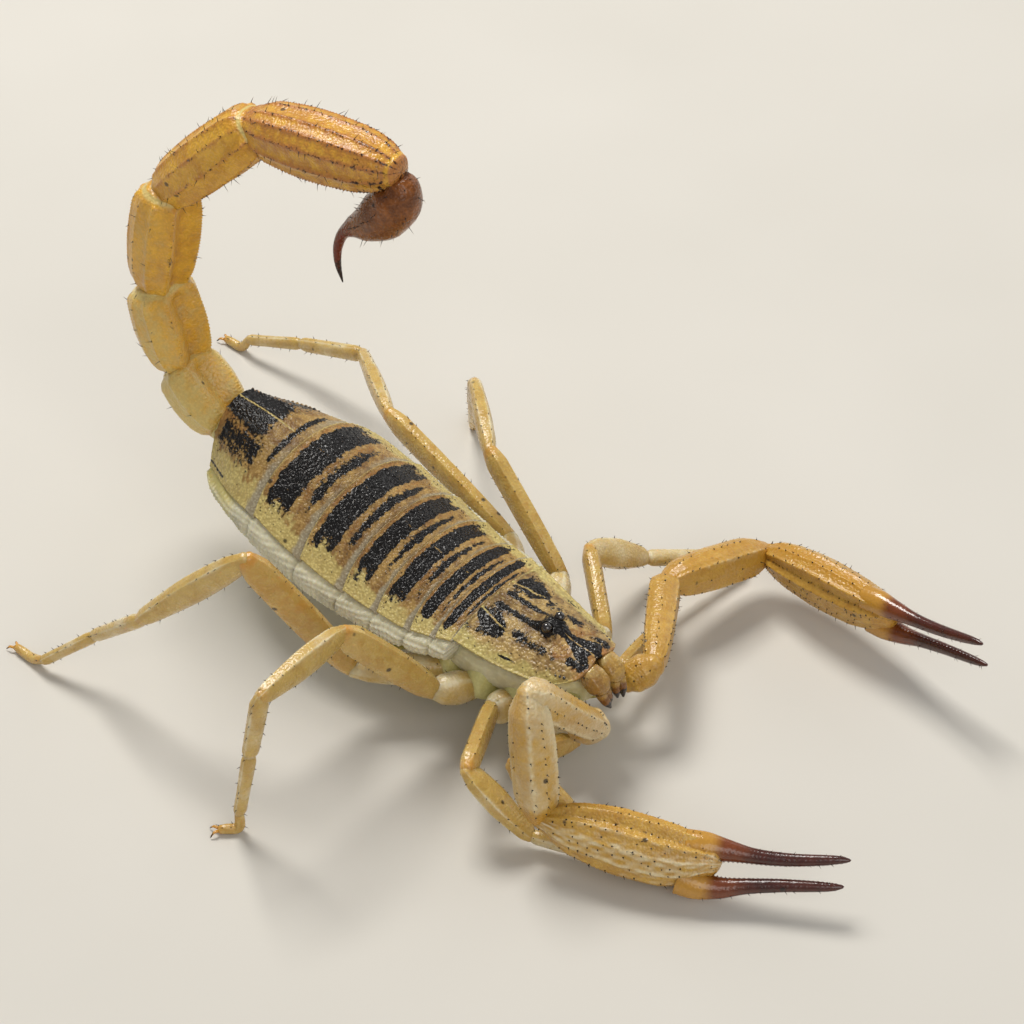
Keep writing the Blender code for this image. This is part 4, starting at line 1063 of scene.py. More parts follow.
def last_plate_marks(F, A, X, Y, frayed):
    """Marks of plate 7: a black middle field and a side patch, split by pale keels."""
    top = ramp(F + frayed, 0.30, 0.50) * ramp(A + frayed, 0.44, 0.28)
    patch = (ramp(F + frayed, 0.2, 0.38) * ramp(F, 0.98, 0.88) * bell(A, 0.57, 0.18)
             * (0.82 + 0.4 * wobble(X * 2.2, Y * 2.2, 78)))
    thin = bell(F, 0.15, 0.04) * ramp(A, 0.7, 0.4)
    line = ramp(F, 0.55, 0.7) * bell(A, 0.955, 0.012) * 0.9
    dash = bell(X, 0, 0.05) * ramp(F, 0.12, 0.2)
    band = np.clip(top + patch + thin + line, 0, 1) * (1 - dash)
    light = np.clip(0.75 * ramp(A + 3 * frayed, 0.66, 0.84) + dash + 0.5 * bell(A, 0.34, 0.02), 0, 1)
    warm = 0.5 * ramp(F, 0.3, 0.5) * ramp(A, 0.72, 0.5)
    return {"band": band, "light": light, "warm": warm}


# %% Back plates
PLATE_THICKNESS = 0.22
PLATE_GRIDS = []
for number, (start, end) in enumerate(zip(TERGITE_BORDERS, TERGITE_BORDERS[1:]), 1):
    P, F, A = plate_outline(number, start, end)
    X, Y = P[..., 0], P[..., 1]
    frayed = 0.018 * wobble(X * 4, Y * 4, number) + 0.014 * wobble(X * 13, Y * 13, 20 + number)
    if number < 7:
        marks = banded_marks(number, F, A, X, Y, frayed)
    else:
        marks = last_plate_marks(F, A, X, Y, frayed)
    marks["soft"] = ramp(F + frayed, 0.17, 0.06) * (0.28 + 0.72 * A)
    grid = plate(P, plate_relief(number, F, A, X, Y), PLATE_THICKNESS, marks)
    PLATE_GRIDS.append(grid)
    build("back_plate_%d" % number, [grid], BACK, ["tergite_%d" % number], poles=False)
print(len(PLATE_GRIDS), "back plates")

# %% Head shield outline
HEAD_LENGTH, HEAD_REAR, HEAD_FRONT = 6.0, 3.1, 1.85
EYE_Y, EYE_RISE = -3.3, 0.5
rows, cols = 200, 210
y = np.linspace(-HEAD_LENGTH, -0.02, rows)
f = -y / HEAD_LENGTH
u = np.linspace(-1, 1, cols)
half = (HEAD_FRONT + (1 - f**1.35) * (HEAD_REAR - HEAD_FRONT))[:, None]
middle, edge = (6.10 - 0.35 * f)[:, None], (5.5 - 0.6 * np.sin(math.pi * f * 0.75))[:, None]
F, U = f[:, None] * np.ones((1, cols)), u[None] * np.ones((rows, 1))
A, X, Y = np.abs(U), U * half, y[:, None] * np.ones((1, cols))
bump = EYE_RISE * bell(Y, EYE_Y, 0.75) * np.exp(-(X / 0.5) ** 4)
Z = edge + (middle - edge) * (1 - A**ARCH_POWER) + bump
Z = Z - 0.12 * ramp(F, 0.90, 1.0)
notch = 0.14 * bell(X, 0, 0.4) * ramp(F, 0.93, 1.0) + 0.95 * A**5 * ramp(F, 0.70, 1.0)
P = np.stack([X, Y + notch, Z], -1)
print("head shield, mm:", np.ptp(P[..., 0]).round(2), "x", np.ptp(P[..., 1]).round(2))

# %% Head keels, furrows and grains
bead = 0.6 + 0.4 * np.cos(2 * math.pi * Y / 0.2)
rear_keels = bell(np.abs(X), 0.42 + 0.10 * F, 0.07) * ramp(F, 0.04, 0.1) * ramp(F, 0.50, 0.42)
brows = bell(np.abs(X), 0.30 + 0.75 * ramp(F, 0.5, 1.0), 0.08) * ramp(F, 0.5, 0.58) * ramp(F, 0.98, 0.9)
flank_keels = bell(np.abs(X), 1.35, 0.07) * ramp(F, 0.08, 0.16) * ramp(F, 0.42, 0.3)
socket_rim = 0.05 * bell(np.hypot(Y - EYE_Y, (np.abs(X) - 0.42) * 1.3), 0.36, 0.06)
slant = bell(A - 0.35 - 0.55 * (F - 0.3), 0, 0.03) * ramp(F, 0.35, 0.42) * ramp(F, 0.85, 0.7)
furrow = bell(X, 0, 0.10) * ramp(F, 0.02, 0.06) * ramp(F, 0.44, 0.36) * 0.07
side_furrow = 0.10 * bell(F - 0.22 - 0.25 * (A - 0.5), 0, 0.035) * bell(A, 0.55, 0.22)
rim = 0.05 * (ramp(A, 0.955, 0.985) + ramp(F, 0.97, 0.99) + ramp(F, 0.03, 0.01))
grains = (granules(X, Y, 0.15, 0.55, 91) * 0.036 * (1 - 0.6 * ramp(A, 0.8, 0.95))
          + granules(X, Y, 0.32, 0.22, 92) * 0.05)
relief = (grains * (1 - np.clip(bump * 2.2, 0, 0.9))
          + bead * 0.07 * (rear_keels + brows + flank_keels + 0.7 * slant)
          + rim + socket_rim - furrow - side_furrow)
print("highest relief, mm:", relief.max().round(3))

# %% Head markings
frayed = 0.05 * wobble(X * 4, Y * 4, 90)
corner = (ramp(F + frayed, 0.02, 0.05) * ramp(F + 0.5 * np.abs(A - 0.48) + frayed, 0.36, 0.28)
          * bell(A, 0.48, 0.26))
curl = bell(A - 0.34 - 0.5 * F, 0, 0.02) * ramp(F, 0.35, 0.25)
streak = bell(np.abs(X), 0.42, 0.18) * ramp(F, 0.03, 0.08) * ramp(F, 0.60, 0.52)
socket = np.exp(-(((Y - EYE_Y + 0.1) / 0.62) ** 2 + (X / 0.62) ** 2) ** 2)
reach = 0.26 + 0.42 * ramp(F, 0.70, 0.88)
ahead_band = (ramp(np.abs(X) + frayed, reach + 0.10, reach - 0.10) * ramp(F + frayed, 0.52, 0.58)
              * ramp(F + frayed, 0.985, 0.95))
branch = bell(np.abs(X), 0.95, 0.22) * ramp(F + frayed, 0.80, 0.86) * ramp(F + 0.10 * A, 1.05, 1.0)
patch = (bell(A - 0.12 * (F - 0.45), 0.46, 0.12) * ramp(F, 0.28, 0.38) * ramp(F, 0.74, 0.62)
         * (0.80 + 0.45 * wobble(X * 2.4, Y * 2.4, 93)))
slit = bell(A, 0.86, 0.02) * bell(F, 0.42, 0.07)
median = bell(X, 0, 0.045) * (0.85 + 0.3 * wobble(Y * 5, X, 7))
band = np.clip(1.1 * corner + streak + socket + ahead_band + branch + 0.85 * patch + slit, 0, 1)
band = band * (1 - 0.9 * curl) * (1 - 0.8 * median * (1 - ramp(bump, 0.1, 0.3)))
light = np.clip(0.7 * ramp(A + frayed, 0.60, 0.92) + median * 0.5 + 0.6 * curl
                + 0.4 * ramp(F, 0.025, 0.015), 0, 1)
warm = np.clip(ramp(F + frayed, 0.92, 0.98) * 0.5 + 0.5 * bell(F, 0.74, 0.16) * ramp(A, 0.8, 0.4), 0, 1)
print("black share of the shield:", (band > 0.5).mean().round(2))

# %% Head shield
shield = plate(P, relief, 0.30, {"band": band, "light": light, "warm": warm, "soft": 0.0})
build("head_shield", [shield], HEAD, ["carapace"], poles=False)
print("head shield points:", shield["P"].shape[0] * shield["P"].shape[1])

# %% [markdown]
# ## Eyes
# Two round lenses sit on the flanks of the hump, each in a low dark socket, and three tiny ones
# stand in a row at each front corner of the shield. Sphere grids under a glossy black finish
# are enough, because only their highlights show.

# %% Eye glass
EYE_GLASS = bpy.data.materials.new("eye_glass")
EYE_GLASS.use_nodes = True
tree = EYE_GLASS.node_tree
lens = tree.nodes["Principled BSDF"]
iris = tree.nodes.new("ShaderNodeTexNoise")
iris.inputs["Scale"].default_value = 3000
place = tree.nodes.new("ShaderNodeTexCoord")
tree.links.new(place.outputs["Object"], iris.inputs["Vector"])
tone = tree.nodes.new("ShaderNodeMix")
tone.data_type = "RGBA"
tone.inputs["A"].default_value, tone.inputs["B"].default_value = rgb(10, 8, 8), rgb(34, 22, 16)
tree.links.new(iris.outputs["Fac"], tone.inputs["Factor"])
tree.links.new(tone.outputs["Result"], lens.inputs["Base Color"])
for name, value in (("Roughness", 0.15), ("Coat Weight", 1.0), ("Coat IOR", 1.6), ("Coat Roughness", 0.06)):
    lens.inputs[name].default_value = value
print("eye glass:", len(tree.nodes), "nodes")


# %% Lenses
EYE_RADIUS = 0.245
CORNER_EYES = ((0, 0.085), (1, 0.075), (2, 0.06))
CORNER_COLUMNS = {-1: 19, 1: 190}


def ball_grid(centre, radius, rows=28, cols=36, scale=(1, 1, 1)):
    """Sphere from latitude and longitude, scaled along each axis."""
    latitude = np.radians(np.linspace(-86, 86, rows))[:, None]
    longitude = np.radians(np.arange(cols) * 360 / cols)[None]
    P = np.stack([np.cos(latitude) * np.cos(longitude), np.cos(latitude) * np.sin(longitude),
                  np.sin(latitude) * np.ones_like(longitude)], -1)
    return {"P": np.asarray(centre) + P * radius * np.asarray(scale), "T": np.zeros((rows, cols))}


for name, sign in (("right", -1), ("left", 1)):
    outward = unit(np.array([sign * 0.8, -0.15, 0.6]))
    lens_centre = np.array([sign * 0.36, EYE_Y, 6.24]) + outward * 0.13
    build("eye_lens_" + name, [ball_grid(lens_centre, EYE_RADIUS)], EYE_GLASS,
          ["median_eye_" + name])
corner_eyes = []
for sign in (-1, 1):
    for step, size in CORNER_EYES:
        k, j = int(np.argmin(np.abs(f - (0.93 - 0.045 * step)))), CORNER_COLUMNS[sign]
        corner_eyes.append(ball_grid(shield["upper"][k, j] - shield["normal"][k, j] * 0.03, size, 14, 18))
build("corner_eyes", corner_eyes, EYE_GLASS, [])
print("eyes:", 2 + len(corner_eyes))

# %% [markdown]
# ## Soft skin and the underside
# Between back and belly plates the skin is soft, pale and pleated. It is one closed body: its
# ring follows the flanks, and fine creases along the body cross a few deep folds that start at
# the gaps between plates. Below it lie the belly plates, the leg bases and the two combs.

# %% Flank outline
def flank_points(at):
    """Eleven points per station from the top of the soft body down to the belly line."""
    middle, edge, half, belly = smooth_table(TRUNK, at).T
    shoulder, wall = edge - 0.16, belly + 0.36 * (edge - belly)
    hip = wall + 0.22
    room = np.clip(shoulder - hip, 0.05, None)
    bulge = 0.42 * np.clip(room / 0.6, 0, 1)
    top, low = middle - 0.36, belly + 0.30
    zero = np.zeros_like(at)
    xs = [zero, half * 0.45, half * 0.80, half * 0.97, half + 0.75 * bulge, half + bulge,
          half + 0.7 * bulge, half * 0.97, half * 0.80, half * 0.36, zero]
    zs = [top, top - 0.17 * (top - shoulder), top - 0.62 * (top - shoulder), shoulder,
          shoulder - 0.22 * room, shoulder - 0.5 * room, hip + 0.2 * room, hip, wall + 0.16,
          low + 0.02, low]
    return np.stack([np.stack(xs, -1), np.stack(zs, -1)], -1)


def closed_rings(points, samples):
    """Rings through the flank points and their mirror images, by Catmull-Rom pieces."""
    place = np.linspace(0, 10, samples)
    k = np.clip(place.astype(int), 0, 9)
    t = (place - k)[None, :, None]
    before, after = points[:, np.clip(k - 1, 0, 10)], points[:, np.clip(k + 2, 0, 10)]
    here, beyond = points[:, k], points[:, k + 1]
    side = 0.5 * (2 * here + (beyond - before) * t + (2 * before - 5 * here + 4 * beyond - after) * t**2
                  + (3 * here - before - 3 * beyond + after) * t**3)
    return np.concatenate([side, side[:, -2:0:-1] * [-1, 1]], axis=1)


SKIN_ROWS, SKIN_SAMPLES = 330, 64
y = np.linspace(0.1, 15.72, SKIN_ROWS)
points = flank_points(y)
ring = closed_rings(points, SKIN_SAMPLES)
P = np.stack([ring[..., 0], y[:, None] * np.ones((1, ring.shape[1])), ring[..., 1]], -1)
print("soft body, mm:", np.ptp(P[..., 0]).round(2), "across")

# %% Folds and creases
outward = unit(np.cross(np.roll(P, -1, 1) - np.roll(P, 1, 1), np.gradient(P, axis=0)))
outward = outward * np.sign((outward[..., 0] * P[..., 0]).mean())
Z, Y = P[..., 2], P[..., 1]
flank = np.clip((np.abs(P[..., 0]) / points[:, 5, 0][:, None] - 0.85) * 7, 0, 1)
folds = sum(bell(Y, border, 0.10) for border in TERGITE_BORDERS[1:-1])
creases = (0.050 * np.sin(2 * math.pi * (Z / 0.22 + 0.35 * wobble(Y * 1.4, Z * 2, 61)))
           + 0.024 * np.sin(2 * math.pi * (Y / 0.24 + 0.5 * wobble(Y, Z * 3, 62)))
           + 0.03 * wobble(Y * 3, Z * 4, 63))
P = P + outward * (flank * (creases - 0.16 * folds))[..., None]
warm = np.clip(0.3 * ramp(Z - 0.3 * Y, 3.6, 2.2) + ramp(Y, 12.0, 14.5), 0, 1)
soft = 0.45 * flank * (0.5 + 0.5 * wobble(Y * 2, Z * 2, 64)) + 0.25 * folds * flank
soft_body = {"P": P, "light": 0.5 * flank, "warm": warm, "band": 0.0, "soft": soft}
print("deep folds:", len(TERGITE_BORDERS) - 2)

# %% Neck skin
NECK_COLUMNS = 72
neck_y = np.linspace(-5.75, 0.6, 70)
taper = np.sqrt(np.clip(1 - ((neck_y + 2.2) / 3.9) ** 4, 0.02, 1))
angle = np.arange(NECK_COLUMNS) * 2 * math.pi / NECK_COLUMNS
neck_half = np.interp(neck_y, (-5.75, -4.9, -3.5, 0.6), (1.25, 1.80, 2.34, 2.98))
sideways, upwards = (np.sign(value) * np.abs(value) ** 0.6 for value in (np.cos(angle), np.sin(angle)))
neck = np.stack([neck_half[:, None] * taper[:, None] * sideways,
                 neck_y[:, None] * np.ones((1, NECK_COLUMNS)),
                 3.90 + 1.10 * taper[:, None] * upwards], -1)
lobes = (sum(bell(neck_y, at, 0.55) for at in (-4.3, -2.9, -1.1, 0.6))[:, None]
         * bell(neck[..., 2], 3.9, 0.6))
neck[..., 0] += (0.03 * np.sin(2 * math.pi * neck[..., 2] / 0.25) + 0.12 * lobes) * np.sign(neck[..., 0])
neck_warm = (0.65 + 0.3 * ramp(neck_y, -3.5, -5.0))[:, None] * np.ones((1, NECK_COLUMNS))
neck_skin = {"P": neck, "light": 0.5, "warm": neck_warm, "soft": 0.0}
print("neck skin, mm:", np.ptp(neck[..., 0]).round(2), "across")

# %% Pleated skin
ACROSS = np.array([1.0, 0, 0])
RUMP_PATH = ((0, 14.6, 7.45), (0, 15.5, 7.4), (-0.05, 16.1, 7.3), (-0.1, 16.7, 7.3), (-0.1, 17.0, 7.45))
RUMP_HALF = ((1.7, 1.3), (1.9, 1.45), (1.5, 1.2), (1.08, 0.92), (0.6, 0.5))


def rump_folds(S, TH):
    """Low rings, one every 0.34 mm."""
    return 0.03 * np.sin(2 * math.pi * (S / 0.34 + 0.2 * wobble(S, TH / 40, 65)))


rump = tube_path(RUMP_PATH, RUMP_HALF, ACROSS, 60, 60, relief=rump_folds)
rump["warm"], rump["light"] = 0.8, 0.2
build("pleated_skin", [soft_body, neck_skin, rump], SKIN, ["pleura"])
print("skin grids:", [grid["P"].shape[:2] for grid in (soft_body, neck_skin, rump)])

# %% Belly plates
BELLY_ROWS, BELLY_COLUMNS = 44, 70
for number, (start, end) in enumerate(zip(STERNITE_BORDERS, STERNITE_BORDERS[1:]), 3):
    rows, cols = BELLY_ROWS, BELLY_COLUMNS
    y = np.linspace(start, end - 0.04, rows)
    _, edge, half, belly = smooth_table(TRUNK, y).T[:, :, None]
    F = ((y - start) / (end - start))[:, None] * np.ones((1, cols))
    U = np.linspace(-1, 1, cols)[None] * np.ones((rows, 1))
    A = np.abs(U)
    Z = belly + 0.36 * (edge - belly) * A**ARCH_POWER + 0.12 * (1 - F)
    P = np.stack([U * half * 0.80, y[:, None] * np.ones((1, cols)), Z], -1)
    slit = bell((A - 0.62) / 0.10, 0, 1) * bell((F - 0.62 - 0.5 * (A - 0.62)) / 0.05, 0, 1) * (number < 7)
    keel = 0.04 * bell(A, 0.35, 0.03) * (number == 7) * ramp(F, 0.2, 0.4)
    relief = 0.006 * granules(P[..., 0], P[..., 1], 0.16, 0.4, 70 + number) + 0.05 * slit - keel
    lining = P + np.array([0, 0, 0.24]) * (1 - 0.4 * A**2)[..., None]
    outer = P + np.array([0, 0, 1.0]) * relief[..., None]
    marks = {"band": 0.9 * slit, "light": 0.6 * ramp(F, 0.9, 0.95), "warm": 0.25 * (number == 7) + 0 * F}
    grid = {"P": np.concatenate([outer, lining[:, ::-1]], axis=1)}
    for key, value in marks.items():
        grid[key] = np.concatenate([value, value[:, ::-1]], axis=1)
    build("belly_plate_%d" % number, [grid], BELLY, ["sternite_%d" % number], poles=False)
print("belly plates:", len(STERNITE_BORDERS) - 1)

# %% Leg bases and breast plate
HIP_POINTS = (((0.45, -4.3, 2.75), (1.75, -4.65, 2.9), 0.66, 0.85),
              ((0.5, -3.0, 2.6), (2.5, -3.05, 3.15), 0.70, 0.98),
              ((0.5, -1.6, 2.55), (2.7, -1.05, 3.25), 0.78, 1.02),
              ((0.5, -0.2, 2.5), (2.6, 0.85, 3.0), 0.72, 0.92))
bases = []
for sign in (-1, 1):
    for inner, outer, half_width, half_height in HIP_POINTS:
        inner, outer = np.array(inner) * [sign, 1, 1], np.array(outer) * [sign, 1, 1]
        reach = np.linalg.norm(outer - inner)
        base = shell(inner, unit(outer - inner), (0, 1, 0), reach,
                     ((0, half_width * 0.6, half_height * 0.7), (0.3, half_width * 0.85, half_height * 0.9),
                      (0.8, half_width, half_height), (1, half_width * 0.8, half_height * 0.85)),
                     ((60, 0.04, 9), (300, 0.04, 9)), rows=50, cols=48, caps=(0.4, 0.5))
        low, high = end_mask(base, 0.1, 0.15)
        base["light"], base["warm"] = 0.4 + 0.5 * high, 0.1
        bases.append(base)
    mouth = tube_path([(sign * 0.42, -3.4, 2.35), (sign * 0.5, -4.8, 2.5), (sign * 0.62, -5.7, 2.9)],
                      ((0.30, 0.25), (0.36, 0.30), (0.22, 0.2)), ACROSS, 30, 20)
    palm_base = tube_path([(sign * 1.1, -4.7, 3.4), (sign * 1.5, -5.5, 3.25), (sign * 1.75, -6.1, 3.1)],
                          ((0.7, 0.75), (0.75, 0.8), (0.6, 0.66)), ACROSS, 40, 36)
    palm_base["light"] = 0.4
    bases += [mouth, palm_base]
breast = ball_grid((0, -0.4, 2.15), 1.0, 20, 24, (0.42, 0.75, 0.28))
lid = ball_grid((0, 0.75, 2.25), 1.0, 20, 24, (0.75, 0.45, 0.28))
build("leg_bases", bases + [breast, lid], BELLY, ["coxosternum"])
print("leg bases:", 2 * len(HIP_POINTS))

# %% Combs
TEETH = 19
COMB_LENGTH, COMB_ANGLE = 3.3, math.radians(32)
comb = []
for sign in (-1, 1):
    reach = np.linspace(0.15, 1, 12)
    x = sign * COMB_LENGTH * math.cos(COMB_ANGLE) * reach
    front = 2.0 + COMB_LENGTH * math.sin(COMB_ANGLE) * reach**1.3
    spine = np.stack([x, front + 0.25, np.full(12, 2.22)], -1)
    halves = np.column_stack([np.linspace(0.34, 0.16, 12), np.linspace(0.2, 0.13, 12)])
    comb.append(tube_path(spine, halves, np.array([0, 1.0, 0]), 40, 14))
    for share in np.linspace(0.16, 0.97, TEETH):
        root = np.array([sign * COMB_LENGTH * math.cos(COMB_ANGLE) * share,
                         2.15 + COMB_LENGTH * math.sin(COMB_ANGLE) * share**1.3, 2.2])
        tilt = np.array([sign * -0.12, 0.62, -0.04])
        tooth = tube_path([root, root + tilt * 0.6, root + tilt],
                          ((0.07, 0.07), (0.085, 0.08), (0.05, 0.05)), ACROSS, 9, 8)
        tooth["light"] = 0.5
        comb.append(tooth)
build("combs", comb, BELLY, ["pectines"])
print("comb teeth:", 2 * TEETH)

# %% [markdown]
# ## Jaws
# The two jaws stick out under the front rim of the shield. Each is a plump hand with a pair of
# short, dark, hooked fingers.

# %% Jaw hands and fingers
JAW_REACH = 1.05
JAW_SHAPE = ((0, 0.50, 0.46), (0.35, 0.56, 0.52), (0.7, 0.55, 0.50), (0.9, 0.47, 0.44), (1, 0.38, 0.38))
for name, sign in (("right", -1), ("left", 1)):
    start = np.array([sign * 0.56, -5.85, 5.22])
    axis = direction(-4 * sign, -42)
    hand = shell(start, axis, level_side(0), JAW_REACH, JAW_SHAPE,
                 ((50, 0.06, 8), (130, 0.06, 8), (90, -0.05, 10)), rows=90, cols=70, caps=(0.5, 0.5),
                 power=2.6, grains=(0.17, 0.03, 0.5))
    hand["light"] = 0.3 * ridge(hand["TH"], 90, 60) + 0.4 * wobble(hand["S"] * 3, hand["TH"] / 30, 81)
    hand["warm"] = 0.35 * ramp(hand["T"], 0.8, 1.0)
    hand["band"] = 0.42 * np.clip(wobble(hand["S"] * 4, hand["TH"] / 24, 80), 0, 1)
    wrist = start + axis * JAW_REACH
    parts = [hand]
    for shift, pitch, size in ((0.19, -58, 1.15), (-0.17, -70, 1.05)):
        base = wrist + np.array([sign * shift, 0, -0.05])
        forward = direction(-25 * sign, pitch)
        hook = direction(-60 * sign * (1 if shift > 0 else -1), pitch)
        tooth = tube_path([base, base + forward * 0.45 * size, base + forward * 0.75 * size + hook * 0.12],
                          ((0.22 * size, 0.24 * size), (0.19 * size, 0.2 * size), (0.04, 0.04)),
                          level_side(0), 30, 20)
        tooth["band"] = ramp(tooth["T"], 0.42, 0.72)
        tooth["warm"] = ramp(tooth["T"], 0.05, 0.4)
        parts.append(tooth)
    build("jaw_" + name, parts, JAWS, ["chelicera_" + name])
print("jaw grids each:", len(parts))

# %% [markdown]
# ## Dots and bristles
# Short stiff bristles stand in rows on the keels, each in a dark dot. One bristle is a small
# lathe form: a low dome at the root, then a thin cone. All the bristles of a region are one
# mesh, worked out together, and each keeps a small patch of the bake map at its root's place
# on an unwrap of the surface that it stands on.

# %% Roots on tubes and plates
def tube_roots(grid, s, theta, cell):
    """Places, outward and lengthwise directions at distance s along a tube and angle theta, by
    bilinear reading of its grid, with the place on the unwrap: cell gives the tube's square."""
    P = grid["P"]
    rows, cols = P.shape[:2]
    i = np.clip(np.interp(s, grid["S"][:, 0], np.arange(rows)), 0, rows - 1.001)
    j = (theta % 360) / 360 * cols
    i0, j0 = i.astype(int), j.astype(int) % cols
    j1, fi, fj = (j0 + 1) % cols, (i % 1)[:, None], (j % 1)[:, None]
    place = (P[i0, j0] * (1 - fi) * (1 - fj) + P[i0 + 1, j0] * fi * (1 - fj)
             + P[i0, j1] * (1 - fi) * fj + P[i0 + 1, j1] * fi * fj)
    along = unit(P[i0 + 1, j0] - P[i0, j0])
    normal = unit(np.cross(P[i0, j1] - P[i0, j0], along))
    middle = P[i0].mean(axis=1)
    normal = normal * np.sign(np.sum(normal * (place - middle), axis=1))[:, None]
    unwrap = np.column_stack([cell % 8 + 0.06 + 0.88 * (theta % 360) / 360,
                              cell // 8 + 0.06 + 0.88 * i / rows]) / 8
    return place, normal, along, unwrap


def keel_roots(grid, angles, spacing, share, seed, cell):
    """Roots in rows along the given angles: evenly spaced with jitter, thinned to share."""
    draw = np.random.default_rng(seed)
    steps = np.arange(0.3, grid["length"] - 0.2, spacing)
    s, theta = np.meshgrid(steps, np.asarray(angles, float), indexing="ij")
    s = s.ravel() + draw.uniform(-0.35, 0.35, s.size) * spacing
    theta = theta.ravel() + draw.uniform(-3, 3, theta.size)
    keep = draw.random(s.size) < share
    return tube_roots(grid, s[keep], theta[keep], cell)


# %% Bristle finish
BRISTLE = finish("bristle", rgb(64, 42, 24), rgb(44, 28, 16), rgb(150, 112, 60), rgb(60, 40, 24),
                 rgb(70, 44, 22), dark=rgb(24, 16, 12), Mottle=0.5, Specks=0.0, Fray=0.1, Grain=0.1,
                 Gloss=0.35, through=0.0)
print("bristle finish:", BRISTLE.name)

# %% Bristle shape
SIDES, RINGS = 6, 5
PATCH = 0.0015
RING_SHRINK = np.array([1.0, 0.85, 0.6, 0.4, 0.2])
RING_MARKS = {"band": (1.0, 1.0, 0.9, 0.4, 0.0), "soft": (0.0,) * RINGS,
              "light": (0.0, 0.0, 0.0, 0.3, 0.8), "warm": (0.0,) * RINGS}
TURN = np.arange(SIDES) * 2 * math.pi / SIDES


def bristle_points(place, normal, along, length, dot, lay, draw):
    """Five rings for each root round its own axis, which leans along the surface by lay: a dome
    of radius dot, then a cone of random length whose tip bends over by its square."""
    count = len(place)
    reach = draw.uniform(length[0], length[1], count)
    axis = unit(normal + lay * along * draw.uniform(0.4, 1.3, (count, 1))
                + draw.normal(0, 0.12, (count, 3)))
    first = unit(np.cross(axis, [0.3, 0.2, 0.9]))
    second = np.cross(axis, first)
    width = draw.uniform(0.8, 1.2, count) * dot
    rise = np.stack([-0.03 + 0 * reach, 0.010 + 0 * reach, 0.028 + 0 * reach, 0.55 * reach, reach], 1)
    radius = np.stack([width, 0.85 * width, 0.016 + 0 * reach, 0.011 + 0 * reach, 0.002 + 0 * reach], 1)
    dome = np.array([1.0, 1.0, 0.6, 0.0, 0.0])
    lean = normal[:, None] * dome[None, :, None] + axis[:, None] * (1 - dome)[None, :, None]
    centre = (place[:, None] + lean * rise[..., None]
              + along[:, None] * (0.25 * np.clip(rise, 0, None) ** 2)[..., None])
    ring = np.cos(TURN)[None, :, None] * first[:, None] + np.sin(TURN)[None, :, None] * second[:, None]
    return centre[:, :, None] + radius[..., None, None] * ring[:, None]


def bristle_faces(count):
    """Quads between the rings and a fan of triangles at each end, for every bristle."""
    i, j = np.meshgrid(np.arange(RINGS - 1), np.arange(SIDES), indexing="ij")
    k = (j + 1) % SIDES
    quads = np.stack([i * SIDES + j, i * SIDES + k, (i + 1) * SIDES + k, (i + 1) * SIDES + j],
                     -1).reshape(-1, 4)
    fan = np.arange(1, SIDES - 1)
    base = np.stack([0 * fan, fan + 1, fan], -1)
    tip = np.stack([0 * fan, fan, fan + 1], -1) + (RINGS - 1) * SIDES
    offset = (np.arange(count) * RINGS * SIDES)[:, None, None]
    tris = (np.vstack([base, tip])[None] + offset).reshape(-1, 3)
    return (quads[None] + offset).reshape(-1, 4), tris


# %% Bristle coats
FLOOR_CLEARANCE = 0.1


def bristle_coat(name, roots, length, dot, seed, lay=0.5):
    """One mesh of bristles at roots that clear the floor. Each vertex keeps a place on the
    unwrap, on a small patch round its root's place."""
    place, normal, along, unwrap = (np.concatenate(part) for part in zip(*roots))
    clear = place[:, 2] + 0.3 * normal[:, 2] > FLOOR_CLEARANCE
    place, normal, along, unwrap = place[clear], normal[clear], along[clear], unwrap[clear]
    P = bristle_points(place, normal, along, length, dot, lay, np.random.default_rng(seed))
    count = len(place)
    quads, tris = bristle_faces(count)
    spread = PATCH * RING_SHRINK[:, None, None] * np.stack([np.cos(TURN), np.sin(TURN)], -1)
    uv = (unwrap[:, None, None] + spread[None]).reshape(-1, 2)
    marks = {key: np.tile(np.repeat(values, SIDES), count) for key, values in RING_MARKS.items()}
    piece = write_mesh(name, P.reshape(-1, 3), quads, tris, marks)
    corners = np.concatenate([quads.ravel(), tris.ravel()])
    layer = piece.data.uv_layers.new(name="OFBake")
    layer.data.foreach_set("uv", uv[corners].astype(np.float32).ravel())
    piece.data.materials.append(BRISTLE)
    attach(piece, "root")
    print(name, count, "bristles,", len(quads) * 2 + len(tris), "triangles")


# %% Rows on the tail
TAIL_SHARES = (0.15, 0.2, 0.3, 0.55, 0.8)
tail_angles = [at for at, _, _ in TAIL_KEELS]
bulb_angles = (20, 60, 100, 140, 180, 225, 270, 315)
tail_roots = [keel_roots(tube, tail_angles, 0.50, TAIL_SHARES[k], 100 + k, k)
              for k, tube in enumerate(TAIL_TUBES)]
tail_roots.append(keel_roots(dict(bulb, length=4.6), bulb_angles, 0.42, 0.6, 110, 5))
bristle_coat("tail_bristles", tail_roots, (0.14, 0.42), 0.036, 201)

